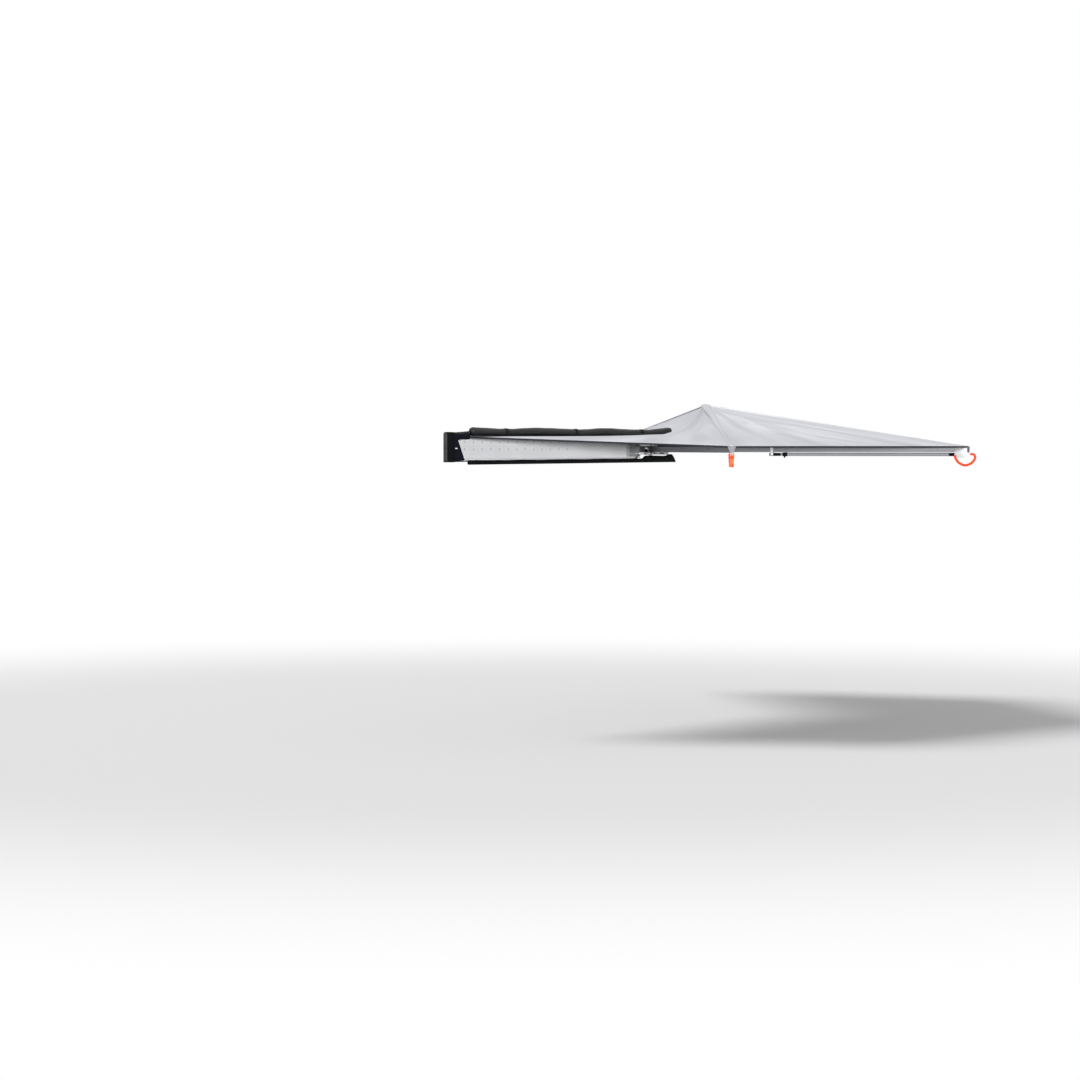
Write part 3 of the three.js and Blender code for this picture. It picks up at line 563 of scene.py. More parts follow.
# Rigid parts whose CAD shape is right: slot, material, edge radius in mm, and nodes
RIGID_PARTS = [
    ("silver_aluminium", RAIL_METAL, 0.8, "canopy_rail"),
    ("silver_aluminium", SILVER, 0.8, "floor_rail"),
    ("silver_aluminium", HINGE_METAL_PAINTED_SHADE, 1.5, "hinge_web"),
    ("silver_aluminium", HINGE_METAL_PAINTED_SHADE, 1.2, "hinge_plate_lower"),
    # The upper hinge plate is silver aluminium painted in the arms' grey: painted shade under the hem
    ("silver_aluminium", GREY, 1.0, "hinge_plate_upper"),
    ("silver_aluminium", HINGE_METAL_PAINTED_SHADE, 0.8, "knuckle_1 knuckle_2 knuckle_3 knuckle_4"),
    ("plated_steel", STEEL, 0.7, "rack_bracket_1 rack_bracket_2 hinge_pin hinge_nut"),
    ("plated_steel", STEEL, 0.7, "leg_bracket_2 leg_bracket_4"),
    ("black_plastic", BLACK_PLASTIC, 0.5, "hinge_washer_lower hinge_washer_upper zip_slider"),
    ("black_plastic", BLACK_PLASTIC, 0.5, "leg_head_2 leg_head_4"),
    ("white_plastic", WHITE_PLASTIC, 0.6, "leg_clip_2 leg_clip_4"),
]
BEVEL_DEGREES = 40
CREASE_DEGREES = 35
ROUND_CREASE = 40
HEAD_CREASE = 50


def painted(mesh, material):
    mesh.materials.clear()
    mesh.materials.append(material)


# A CAD node with its edges rounded, which then stands for it
def softened(node, slot, material, bevel):
    source = nodes[node]
    mesh = source.data.copy()
    mesh.name = f"{node}_edges"
    painted(mesh, material)
    build = bmesh.new()
    build.from_mesh(mesh)
    bmesh.ops.remove_doubles(build, verts=build.verts, dist=0.005 * MM)
    bmesh.ops.dissolve_limit(build, angle_limit=math.radians(1), verts=build.verts, edges=build.edges)
    limit = math.radians(BEVEL_DEGREES)
    sharp = [edge for edge in build.edges if len(edge.link_faces) == 2 and edge.calc_face_angle() > limit]
    bevel_edges(build, sharp, bevel, True)
    build.to_mesh(mesh)
    build.free()
    piece = placed(f"{node}_finished", mesh, source["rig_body"], slot, CREASE_DEGREES)
    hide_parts(node)


def finish_rigid_parts():
    for number in EACH_ARM:
        softened(f"arm_{number}", "grey_aluminium", GREY, 1.2 * MM)
        softened(f"arm_cap_{number}", "black_plastic", BLACK_PLASTIC, 0.8 * MM)
    for slot, material, bevel, names in RIGID_PARTS:
        for name in names.split():
            softened(name, slot, material, bevel * MM)
    painted(nodes["back_plate"].data, SILVER)


# Case: rivets in the back plate's two rows of holes; the profile is distance from its face and radius in mm
RIVET = [(-3, 4.1), (0.1, 4.2), (0.2, 6.2), (1.2, 5.58), (2.2, 3.1), (2.5, 0.4)]
RIVET_SIDES = 20
RIVET_COUNT = 13
RIVET_FRONT_GAP = 212.7 * MM
RIVET_PITCH = 100 * MM
RIVET_HEIGHTS = (33.5 * MM, -16 * MM)
PLATE_WALL = 4 * MM


def plate_rivets():
    parts = []
    for height in RIVET_HEIGHTS:
        for index in range(RIVET_COUNT):
            x = PLATE[1].x - RIVET_FRONT_GAP - index * RIVET_PITCH
            place = Vector((x, PLATE[0].y + PLATE_WALL, height))
            parts.append(turned(place, OUTWARD, in_mm(RIVET), RIVET_SIDES))
    add_mesh("plate_rivets", merged(parts), "case", "plated_steel", RIVET_METAL, crease=HEAD_CREASE)


# Black insets in the outer edge of the lower plate, painted shade for its slots: distance from its front end
# and length, in mm
SLOTS = [(85, 50), (169, 62)]
SLOT_HEIGHTS = (7 * MM, 15 * MM)
SLOT_DEPTH = 2 * MM
SLOT_PROUD = 0.6 * MM


def hinge_slots_painted_shade():
    low, high = LOWER
    parts = []
    for distance, length in SLOTS:
        rear, front = (high.x - (distance + length * side) * MM for side in (HALF, -HALF))
        parts.append(soft_block((rear, high.y - SLOT_DEPTH, low.z + SLOT_HEIGHTS[0]),
                                (front, high.y + SLOT_PROUD, low.z + SLOT_HEIGHTS[1]), 0.4 * MM))
    # black insets: painted shade inside the slots
    add_mesh("hinge_slots_painted_shade", merged(parts), "case", "black_plastic", BLACK_PLASTIC, smooth=False)


# Round bolt heads on the hinge web and plates; the profile is distance and radius in mm
BOLT_HEAD = [(0, 9), (0.4, 9.4), (3, 8.8), (5, 6.5), (5.8, 3), (6, 0.5)]
BOLT_SIDES = 24
END_BOLTS_Y = (145 * MM, 229 * MM)
END_BOLT_SIZE = 0.95
WEB_BOLT_INSET = 10 * MM
WEB_BOLT_HEIGHT = 44 * MM
EDGE_BOLT_PLACE = 87 * MM
EDGE_BOLT_SIZE = 0.75
TOP_BOLT_ENDS = (60 * MM, 130 * MM)
TOP_BOLT_INSET = 30 * MM


def bolt_head(place, direction, size=1.0):
    return turned(Vector(place), direction, in_mm(BOLT_HEAD, size), BOLT_SIDES)


def hinge_bolts():
    middle = (LOWER[0].z + LOWER[1].z) * HALF
    parts = [bolt_head((LOWER[1].x, y, middle), FORWARD, END_BOLT_SIZE) for y in END_BOLTS_Y]
    for x in (WEB[0].x + WEB_BOLT_INSET, WEB[1].x - WEB_BOLT_INSET):
        parts.append(bolt_head((x, WEB[1].y, WEB_BOLT_HEIGHT), OUTWARD))
    parts.append(bolt_head((WEB[0].x + EDGE_BOLT_PLACE, LOWER[1].y, middle), OUTWARD, EDGE_BOLT_SIZE))
    for x in (LOWER[0].x + TOP_BOLT_ENDS[0], LOWER[1].x - TOP_BOLT_ENDS[1]):
        parts.append(bolt_head((x, LOWER[1].y - TOP_BOLT_INSET, UPPER[1].z), UP))
    add_mesh("hinge_bolts", merged(parts), "case", "plated_steel", STEEL, crease=HEAD_CREASE)


# A strip between the hinge plates, a step and a low tail behind it, and a bright post before it
STRIP_LENGTH = 62 * MM
STRIP_THICK = 4.5 * MM
STRIP_INSET = 0.6 * MM
STRIP_BEVEL = 0.8 * MM
STRIP_GAP = 0.3 * MM
TAIL_LENGTH = 48 * MM
TAIL_HEIGHT = 20 * MM
STEP_LENGTH = 32 * MM
STEP_HEIGHT = 28 * MM
POST_RADIUS = 3.6 * MM
POST_PLACE = 7 * MM
POST_GAP = 0.4 * MM


def hinge_strip():
    end = WEB[0].x - POST_GAP
    rear = end - STRIP_LENGTH
    back = LOWER[0].y + STRIP_INSET
    foot, head = LOWER[1].z, UPPER[0].z
    blocks = [
        (rear, end, head - STRIP_GAP), (rear - TAIL_LENGTH, rear, foot + TAIL_HEIGHT),
        (rear - STEP_LENGTH, rear, foot + STEP_HEIGHT),
    ]
    parts = [soft_block((low, back, foot + STRIP_GAP), (high, back + STRIP_THICK, top), STRIP_BEVEL)
             for low, high, top in blocks]
    add_mesh("hinge_strip", merged(parts), "case", "grey_aluminium", GREY, smooth=False)
    place = Vector((rear + POST_PLACE, back + STRIP_THICK + POST_RADIUS, foot + POST_GAP))
    profile = rod_profile(head - foot - 2 * POST_GAP, POST_RADIUS, 0.5 * MM)
    add_mesh("hinge_post", turned(place, UP, profile, BOLT_SIDES), "case", "silver_aluminium", HINGE_METAL_PAINTED_SHADE,
             crease=ROUND_CREASE)


# Case: the front end wall as (y, z) outlines in mm, with a column, a rib painted lighter as a highlight on
# the wall's edge, and an oval bolt plate
WALL_BODY = [
    (39.4, -104), (122, -104), (206, -91), (213, -85), (159, 44), (166, 50), (250, 52), (260, 58), (262, 76),
    (252, 90.5), (60, 90.5), (39.4, 88),
]
WALL_COLUMN = [
    (39.4, -104), (124, -104), (127, -60), (127, 88), (135, 93), (127, 99), (114, 103), (56, 103.4),
    (46, 101), (39.4, 93),
]
WALL_RIB = [(41, -98), (74, -98), (74, 86), (66, 97), (50, 98), (41, 88)]
WALL_CREASE = 32

# Name, outline, material, rear and front in mm from the wall's rear or front face, and edge radius in mm
WALL_PARTS = [
    ("end_wall_body", WALL_BODY, NAVY_PLASTIC, 0, 0, -2, 2),
    ("end_wall_column", WALL_COLUMN, BLACK_PLASTIC, 0, 0, 3, 3),
    ("end_wall_rib", WALL_RIB, RIB_PLASTIC_PAINTED_HIGHLIGHT, 1, 2, 5, 1.2),
]
OVAL_PLATE_YZ = (150 * MM, -9 * MM)
OVAL_PLATE_HALVES = (11.5 * MM, 4.6 * MM)
OVAL_PLATE_RINGS = [(-2, 1), (0.5, 1), (1.5, 0.86), (1.9, 0.5), (1.9, 0.1)]


def end_wall():
    faces = END_WALL[0].x, END_WALL[1].x
    for name, outline, material, rear_face, rear, front, bevel in WALL_PARTS:
        body = wall_solid(outline, faces[rear_face] + rear * MM, faces[1] + front * MM, bevel * MM)
        piece = add_mesh(name, body, "case", "black_plastic", material, crease=WALL_CREASE)
        if outline is WALL_BODY:
            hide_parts("end_wall")
    rings = []
    for rise, share in OVAL_PLATE_RINGS:
        middle = Vector((faces[1] + rise * MM, *OVAL_PLATE_YZ))
        rings.append([middle + Vector((0, OVAL_PLATE_HALVES[0] * a, OVAL_PLATE_HALVES[1] * b))
                      for a, b in circle(32, share)])
    add_mesh("end_wall_plate", loft(rings), "case", "plated_steel", STEEL, crease=WALL_CREASE)


# Cover: the rolled flap, waisted at its ties
ROLL_STATIONS = 150
ROLL_SIDES = 40
ROLL_RADIUS = 25 * MM
ROLL_WAIST = 3.5 * MM
ROLL_CENTRE_Y = 250 * MM
ROLL_CENTRE_Z = 109 * MM
ROLL_RIPPLE = 0.8 * MM
ROLL_RIPPLE_LENGTH = 0.43
ROLL_TIE_DROP = 3 * MM
ROLL_TAIL_RISE = 11 * MM
ROLL_TAIL_LENGTH = 320 * MM
ROLL_TAIL_GAP = 33 * MM
ROLL_START_ANGLE = 0.6
ROLL_SPIRAL = 2.2 * MM
ROLL_SINK = 2.0 * MM
ROLL_CREASE = 1.0 * MM
ROLL_LUMP = 0.9 * MM
TIE_SPACING = 820 * MM
TIE_MIDDLE = -4 * MM


def roll_centre(x):
    pull = math.cos(TURN * (x - TIE_MIDDLE) / TIE_SPACING)
    radius = ROLL_RADIUS - ROLL_WAIST * (1 + pull) * HALF
    tail = max(0.0, (ROOF[0].x + ROLL_TAIL_LENGTH - x) / ROLL_TAIL_LENGTH)
    rise = ROLL_TAIL_RISE * tail + ROLL_RIPPLE * wave(x, ROLL_RIPPLE_LENGTH) - ROLL_TIE_DROP * pull
    return Vector((x, ROLL_CENTRE_Y, ROLL_CENTRE_Z + rise)), radius


# The roll is a spiral of cloth: its radius steps where the outer turn ends, and it creases towards the ties
def roll_radius(x, angle, radius):
    spiral = ROLL_SPIRAL * (angle % TURN) / TURN
    near_tie = math.cos(math.pi * (x - TIE_MIDDLE) / TIE_SPACING) ** 8
    crease = ROLL_CREASE * near_tie * math.sin(9 * angle + 40 * x)
    lump = ROLL_LUMP * math.sin(2 * angle + 11 * x) * math.sin(23 * x + angle)
    return radius - ROLL_SINK + spiral + crease + lump


def cover_roll():
    rings = []
    for station, share in enumerate(shares(ROLL_STATIONS)):
        x = between((ROOF[0].x + ROLL_TAIL_GAP, ROOF[1].x), share)
        centre, radius = roll_centre(x)
        taper = min(1.0, 0.8 + 0.2 * min(station * HALF, ROLL_STATIONS - station))
        ring = []
        for index, (a, b) in enumerate(circle(ROLL_SIDES, taper)):
            reach = roll_radius(x, TURN * index / ROLL_SIDES + ROLL_START_ANGLE, radius)
            ring.append(centre + Vector((0, reach * a, reach * b)))
        rings.append(ring)
    return add_mesh("cover_roll", loft(rings), "cover_flap", "black_cover", ROLL_PAINTED_LIGHT)


# Cover: the roof cloth
CLOTH_COLUMNS = 120
ROOF_ROWS = 16
ROOF_LIFT = 1.9 * MM
ROOF_GRIP = 12 * MM
ROOF_SAG = 0.8 * MM
ROOF_SAG_LENGTH = 0.36
ROOF_THICK = 1.4 * MM


def cover_roof(roll):
    low = Vector((PLATE[0].x, RAIL[0].y, RAIL[1].z + ROOF_LIFT))
    far = ROOF[1].x
    reach = ROLL_CENTRE_Y - ROOF_GRIP

    def point_at(u, v):
        x = low.x + (far - low.x) * u
        centre, radius = roll_centre(x)
        sag = ROOF_SAG * bell(v) * (1 + 0.6 * wave(x, ROOF_SAG_LENGTH))
        rise = (centre.z - radius * 0.1 - low.z) * v
        return Vector((x, low.y + (reach - low.y) * v, low.z + rise - sag))

    part = sheet_between(point_at, CLOTH_COLUMNS, ROOF_ROWS, ROOF_THICK)
    piece = add_mesh("cover_roof_cloth", part, "cover_flap", "black_cover", COVER)
    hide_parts("cover_roof")


# Cover: webbing ties round the roll, each with its buckle
TIE_SIDES = 48
TIE_SECTION = in_mm([(-12, 0), (12, 0), (12, 1.8), (-12, 1.8)])
TIE_GAP = 1.2 * MM
TIE_RIPPLE = 0.5 * MM
BUCKLE_LOW = (-15 * MM, -1 * MM, -7 * MM)
BUCKLE_HIGH = (15 * MM, 6 * MM, 7 * MM)


def tie_band(centre, radius):
    rings = []
    for step, (a, b) in enumerate(circle(TIE_SIDES)):
        inner = radius + TIE_GAP + TIE_RIPPLE * wave(3 * step, TIE_SIDES)
        spoke = Vector((0, a, b))
        rings.append([centre + FORWARD * x + spoke * (inner + rise) for x, rise in TIE_SECTION])
    return loft(rings, joined=True)


def roll_ties():
    for index, x in enumerate((TIE_MIDDLE + TIE_SPACING, TIE_MIDDLE, TIE_MIDDLE - TIE_SPACING)):
        centre, radius = roll_centre(x)
        side = centre + OUTWARD * radius
        buckle = soft_block(side + Vector(BUCKLE_LOW), side + Vector(BUCKLE_HIGH), 1.6 * MM)
        part = merged([tie_band(centre, radius), buckle])
        piece = add_mesh(f"roll_tie_strap_{index + 1}", part, "cover_flap", "black_webbing", BLACK_WEBBING,
                         crease=HEAD_CREASE)
        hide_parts(f"roll_tie_{index + 1}")


# Cover: the tray's rolled lip, raised over its rear end
LIP_DEPTH = 30 * MM
LIP_HEIGHT = 30 * MM
LIP_CORNER = 11 * MM
LIP_STATIONS = 140
LIP_WEDGE = 52 * MM
LIP_WEDGE_STATIONS = 6
LIP_DROP = 4 * MM
LIP_RIPPLE = 0.8 * MM
LIP_REAR_RISE = 8 * MM

# Bumps of the lip: height, and the shares of its length where each ends and over which it rises
LIP_BUMPS = [(20 * MM, 0.168, 0.015), (9 * MM, 0.05, 0.03)]

# Swells of the lip: height, length and starting angle
LIP_SWELLS = [(0.9 * MM, 0.5, 0), (0.6 * MM, 0.31, 2)]


def tray_lip():
    section = rounded_section(LIP_DEPTH, LIP_HEIGHT, LIP_CORNER, 6)
    rings = []
    middle_z = TRAY[0].z - LIP_DROP + LIP_HEIGHT * HALF
    for station, share in enumerate(shares(LIP_STATIONS)):
        x = between((TRAY[0].x, TRAY[1].x), share)
        swell = sum(height * wave(x, length, start) for height, length, start in LIP_SWELLS)
        for height, end, reach in LIP_BUMPS:
            swell += height * soft_edge(clamped(end - share, 0, HALF), reach)
        ring = []
        for across, up in section:
            lift = up / LIP_HEIGHT + HALF
            wedge = LIP_WEDGE * lift * max(0.0, 1 - station / LIP_WEDGE_STATIONS)
            ripple = LIP_RIPPLE * math.sin(60 * x + 9 * across / LIP_DEPTH)
            height = middle_z + up + LIP_REAR_RISE * (1 - share) + swell * lift
            ring.append(Vector((x + wedge, ROLL_CENTRE_Y + across + ripple, height)))
        rings.append(ring)
    return add_mesh("cover_lip", loft(rings), "case", "black_cover", COVER)


# Cover: the tray's floor cloth
FLOOR_ROWS = 14
FLOOR_GAP = 0.4 * MM
FLOOR_SAG = 2.2 * MM
FLOOR_SAG_LENGTH = 0.41
FLOOR_THICK = 1.6 * MM


def tray_floor(lip):
    floor_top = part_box("floor_rail")[0].z - FLOOR_GAP
    low, high = Vector((ROOF[0].x, TRAY[0].y)), TRAY[1]

    def point_at(u, v):
        x = low.x + (high.x - low.x) * u
        sag = FLOOR_SAG * bell(v) * (1 + HALF * wave(x, FLOOR_SAG_LENGTH))
        return Vector((x, low.y + (ROLL_CENTRE_Y - low.y) * v, floor_top - sag))

    part = sheet_between(point_at, CLOTH_COLUMNS, FLOOR_ROWS, FLOOR_THICK)
    piece = add_mesh("cover_floor_cloth", part, "case", "black_cover", COVER)
    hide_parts("cover_tray")


# Canopy: corners and edges, in the frame
HEM_HEIGHT = ARM_TOP + 3.3 * MM
CASE_EDGE_Z = PLATE[1].z
PEAK = Vector((*on_arm(PEAK_ARM, PEAK_REACH).xy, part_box("peak_cap")[0].z - 0.3 * MM))
PEAK_RING = 26 * MM
HINGE_CORNER = Vector((PIVOT.x, PIVOT.y, CASE_EDGE_Z))
CASE_CORNER = Vector((END_WALL[0].x - 12.3 * MM, RAIL[0].y + 32 * MM, CASE_EDGE_Z))
HOLLOW_POWER = 6.4
RING_SHARE = 0.05
PANEL_SAG = 26 * MM
PLEAT_DEPTH = 7 * MM
PLEAT_COUNT = 3
SEAM_GAP = 0.3 * MM
CANOPY_THICK = 1.2 * MM
PANEL_COLUMNS = 72
PANEL_ROWS = 84


def tip(number):
    return Vector((*on_arm(number, ARM_REACH).xy, HEM_HEIGHT))


def from_peak(target):
    level = Vector((target.x - PEAK.x, target.y - PEAK.y, 0)).normalized()
    return PEAK + level * PEAK_RING


def ridge(number, share):
    return from_peak(tip(number)).lerp(tip(number), share)


# Folds of each panel: depth (below zero for a valley) and width in mm, and line in the panel's (u, v) shares
PANEL_FOLDS = {
    1: [
        (9, 55, [(0.05, 0.5), (0.5, 0.72), (0.95, 0.86)]),
        (-9, 40, [(0.1, 0.75), (0.5, 0.88), (0.9, 0.95)]),
        (-20, 45, [(0.02, 0.15), (0.04, 0.6), (0.1, 0.9)]),
        (-9, 60, [(0.1, 0.2), (0.35, 0.6), (0.8, 0.75)]),
    ],
    2: [
        (26, 80, [(0.02, 0.16), (0.26, 0.4), (0.4, 0.57), (0.5, 0.8), (0.56, 0.98)]),
        (-19, 80, [(0.06, 0.14), (0.34, 0.3), (0.55, 0.5), (0.66, 0.74), (0.7, 0.97)]),
        (9, 55, [(0.2, 0.1), (0.5, 0.25), (0.7, 0.5), (0.8, 0.8)]),
        (-7, 60, [(0.72, 0.2), (0.84, 0.5), (0.9, 0.8)]),
        (4, 60, [(0.12, 0.5), (0.16, 0.75), (0.2, 0.96)]),
        (-6, 50, [(0.62, 0.98), (0.76, 0.86), (0.93, 0.8)]),
    ],
    3: [
        (-14, 100, [(0.2, 0.1), (0.25, 0.5), (0.26, 0.95)]),
        (9, 80, [(0.5, 0.1), (0.5, 0.5), (0.52, 0.95)]),
        (-12, 90, [(0.8, 0.1), (0.76, 0.5), (0.74, 0.95)]),
    ],
    4: [
        (-14, 100, [(0.2, 0.1), (0.25, 0.5), (0.26, 0.95)]),
        (9, 80, [(0.5, 0.1), (0.55, 0.5), (0.57, 0.95)]),
        (-12, 90, [(0.84, 0.1), (0.8, 0.5), (0.78, 0.95)]),
    ],
    5: [
        (-8, 30, [(0.3, 0.05), (0.32, 0.5), (0.4, 0.9)]),
        (7, 30, [(0.62, 0.05), (0.62, 0.5), (0.55, 0.9)]),
        (-9, 26, [(0.86, 0.3), (0.8, 0.6), (0.6, 0.85)]),
    ],
}


# How far a fold lifts a point: sharp along its line, fading at its ends
FOLD_ENDS = (0.06, 0.94)
FOLD_ROUND = 0.03
FOLD_FALL = 0.25


def fold(point, line, depth, width):
    lift = 0.0
    parts = len(line) - 1
    for index in range(parts):
        start, step = line[index], line[index + 1] - line[index]
        share = clamped((point - start).dot(step) / step.length_squared)
        away = (point - start - step * share).length / width
        fade = bell(between(FOLD_ENDS, (index + share) / parts))
        lift = max(lift, math.exp(-math.sqrt(away * away + FOLD_ROUND) - away * away * FOLD_FALL) * fade)
    return depth * lift


def fold_lines(number):
    lines = []
    for depth, width, shares in PANEL_FOLDS[number]:
        line = smooth_path([Vector(share) for share in shares], 3)
        lines.append(([base_point(number, u, v) for u, v in line], depth * MM, width * MM))
    return lines


def gore_point(number, u, v):
    first, second = number - 1, number
    top = from_peak(tip(first)).lerp(from_peak(tip(second)), u)
    point = top.lerp(tip(first).lerp(tip(second), u), v)
    pleats = PLEAT_DEPTH * wave(u, 1 / PLEAT_COUNT) * bell(v) * (1 - v)
    point.z += pleats - PANEL_SAG * bell(u) * bell(v)
    return point


def case_outer_edge(u):
    if u < RING_SHARE:
        return from_peak(HINGE_CORNER).lerp(from_peak(tip(1)), u / RING_SHARE)
    return ridge(1, (u - RING_SHARE) / (1 - RING_SHARE))


def case_point(u, v):
    inner = HINGE_CORNER.lerp(CASE_CORNER, u)
    edge = case_outer_edge(u)
    point = inner.lerp(edge, v)
    point.z = inner.z - SEAM_GAP + (edge.z - inner.z) * v ** between((HOLLOW_POWER, 1), u)
    return point


def hinge_point(u, v):
    seam = from_peak(HINGE_CORNER).lerp(HINGE_CORNER, v)
    seam.z = CASE_EDGE_Z - SEAM_GAP + (PEAK.z - CASE_EDGE_Z) * (1 - v) ** HOLLOW_POWER
    return seam.lerp(ridge(ARM_COUNT, v), u)


def base_point(number, u, v):
    if number == 1:
        return case_point(u, v)
    if number == ARM_COUNT + 1:
        return hinge_point(u, v)
    return gore_point(number, u, v)


def panel_point(number):
    folds = fold_lines(number)

    def point_at(u, v):
        point = base_point(number, u, v)
        held = soft_edge(u) * soft_edge(v, 0.08)
        if held > 0:
            point.z += held * sum(fold(point, line, depth, width) for line, depth, width in folds)
        return point

    return point_at


# The dark tape along a panel's outer edge
HEM_SECTION = rounded_section(3 * MM, 12 * MM, 1.2 * MM, 3)
HEM_DROP = 4.1 * MM
LINE_STEPS = 60


def hem_tape(name, start, end, arm):
    path = [start.lerp(end, share) - UP * HEM_DROP for share in shares(LINE_STEPS)]
    return add_mesh(name, swept(path, HEM_SECTION), f"arm_{arm}", "grey_canopy", HEM)


# The dark strip that holds the canopy on the first arm, tall at the hinge and low at the tip; its dark colour
# and its height near the hinge are painted shade for the first panel's underside
KEDER_REACHES = (262 * MM, 2200 * MM)
KEDER_HEIGHTS = (24 * MM, 2 * MM)
KEDER_FOOT = ARM_TOP + 0.2 * MM
KEDER_STEPS = 40
KEDER_SECTION = [(-2, 0), (2, 0), (1.6, 0.9), (0.8, 1), (-0.8, 1), (-1.6, 0.9)]


def keder_and_painted_shade():
    rings = []
    for share in shares(KEDER_STEPS):
        reach, height = between(KEDER_REACHES, share), between(KEDER_HEIGHTS, share)
        rings.append([on_arm(1, reach, side * MM, KEDER_FOOT + rise * height)
                      for side, rise in KEDER_SECTION])
    # partly a real keder strip, partly painted shade of the first panel's underside
    add_mesh("keder_and_painted_shade", loft(rings), "arm_1", "grey_canopy", HEM, smooth=False)


# A raised seam along a panel's ridge, wide at the peak and narrow at the tip, tallest on the first arm
WELT_WIDTHS = (68 * MM, 26 * MM)
WELT_HEIGHTS = (13 * MM, 4 * MM)
WELT_SINK = 2 * MM
WELT_KEEL = 1.5 * MM
WELT_WANDER = 3 * MM
WELT_SIZES = {1: 1.0, 2: 0.35, 3: 0.35, 4: 0.35}


def seam_welt(number, arm):
    size = WELT_SIZES[number]
    line = [ridge(number, share) for share in shares(LINE_STEPS)]
    rings = []
    for share, (place, side, rise) in zip(shares(LINE_STEPS), frames_along(line)):
        half = between(WELT_WIDTHS, share ** HALF) * HALF * size
        height = between(WELT_HEIGHTS, share) * size
        wander = WELT_WANDER * bell(5 * share) * (1 - share) * size
        ring = []
        for a, b in circle(20)[:11]:
            ring.append(place + side * (half * a + wander) + rise * (height * b - WELT_SINK * abs(a)))
        rings.append(ring + [place - rise * WELT_KEEL])
    return add_mesh(f"canopy_seam_{number}", loft(rings), f"arm_{arm}", "grey_canopy", CANOPY)


# Each panel's arm, the joint that closes it, and a place across the arm
PANEL_ARMS = {1: (1, 1, 20.3 * MM), 2: (2, 2, 0.0), 3: (2, 3, 2 * MM), 4: (3, 4, 0.0), 5: (4, 4, -4 * MM)}


def canopy_panels():
    corners = [CASE_CORNER, tip(1), tip(2), tip(3), tip(4), HINGE_CORNER]
    for number, (arm, joint, side) in PANEL_ARMS.items():
        point_at = panel_point(number)
        part = sheet_between(point_at, PANEL_COLUMNS, PANEL_ROWS, CANOPY_THICK)
        panel = add_mesh(f"canopy_cloth_{number}", part, f"arm_{arm}", "grey_canopy", CANOPY)
        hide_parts(f"canopy_panel_{number}")
        start, end = corners[number - 1], corners[number]
        pieces = [hem_tape(f"canopy_hem_{number}", start, end, arm)]
        if number in WELT_SIZES:
            pieces.append(seam_welt(number, arm))
        surface_area(point_at)
        for piece in [panel] + pieces:
            flatten(piece, on_arm(arm, 0, side))


# Corner webbing at each tip: half its outline as (across, down) in mm, two ribs as (half width, down), a ring
TAB_REACH = CAP_REACH + 0.4 * MM
TAB_TOP = HEM_HEIGHT - 1 * MM
TAB_DROP = 45 * MM
TAB_THICK = 2.6 * MM
TAB_HALF = [(30, 0), (25.2, 9.9), (9.6, 45)]
TAB_RIBS = [(24, 6), (8, 37)]
RING_DROP = 5 * MM
RING_RADIUS = 8 * MM
RING_WIRE = 1.6 * MM


def corner_tab(number):
    outline = [(-a, b) for a, b in TAB_HALF] + TAB_HALF[::-1]
    parts = [loft([[Vector((x, a * MM, TAB_TOP - b * MM)) for a, b in outline]
                   for x in (TAB_REACH, TAB_REACH + TAB_THICK)])]
    for half, down in TAB_RIBS:
        wide, height = half * MM, TAB_TOP - down * MM
        parts.append(soft_block((TAB_REACH + 2.4 * MM, -wide, height - 1 * MM),
                                (TAB_REACH + 3.4 * MM, wide, height + 1 * MM), 0.3 * MM))
    tab = add_mesh(f"corner_webbing_{number}", moved(merged(parts), arm_matrix(number)), f"arm_{number}",
                   "grey_webbing", GREY_WEBBING, smooth=False)
    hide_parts(f"corner_tab_{number}")
    middle = TAB_TOP - TAB_DROP - RING_DROP
    path = [on_arm(number, TAB_REACH + TAB_THICK * HALF, a, middle + b) for a, b in circle(28, RING_RADIUS)]
    wire = swept(path, circle(8, RING_WIRE), arm_turned(number, FORWARD), closed=True)
    ring = add_mesh(f"corner_ring_{number}", wire, f"arm_{number}", "plated_steel", STEEL)
    for piece in (tab, ring):
        flatten(piece, on_arm(number, 0))


# Tie strap at the first tip, gathered into a hank; each turn has its side and drop in mm, and its tilt
HANK = [
    ("tie_strap_hank", ORANGE, [(-12, 90, 0.05), (7, 92, 0.02)]),
    # these turns are in the lighter copy: painted light
    ("tie_strap_hank_turns", ORANGE_PAINTED_LIGHT, [(-3, 84, -0.04), (13, 78, -0.06)]),
]
HANK_REACH = CAP_REACH - 9 * MM
HANK_TOP = ARM_BOTTOM - 5 * MM
HANK_DEPTH = 5.5 * MM
WRAP_HALVES = (9.5 * MM, 19 * MM)
WRAP_DROP = 26 * MM
BAND_WIDTH = 15 * MM
BAND_THICK = 1.6 * MM
BAND_CORNER = 0.7 * MM


def hank_turn(side, drop, tilt):
    path = []
    for a, b in circle(44):
        down = drop * MM * HALF * (1 + b)
        swell = 0.55 + 0.45 * b ** 2
        path.append(Vector((HANK_REACH + HANK_DEPTH * a * swell + side * 0.1 * MM, side * MM + tilt * down,
                            HANK_TOP - down)))
    return swept(path, rounded_section(BAND_WIDTH, BAND_THICK, BAND_CORNER, 2), FORWARD, closed=True)


def hank_wrap():
    path = [Vector((HANK_REACH + WRAP_HALVES[0] * a, WRAP_HALVES[1] * b, HANK_TOP - WRAP_DROP + 2 * MM * b))
            for a, b in circle(32)]
    return swept(path, rounded_section(BAND_THICK, BAND_WIDTH, BAND_CORNER, 2), closed=True)


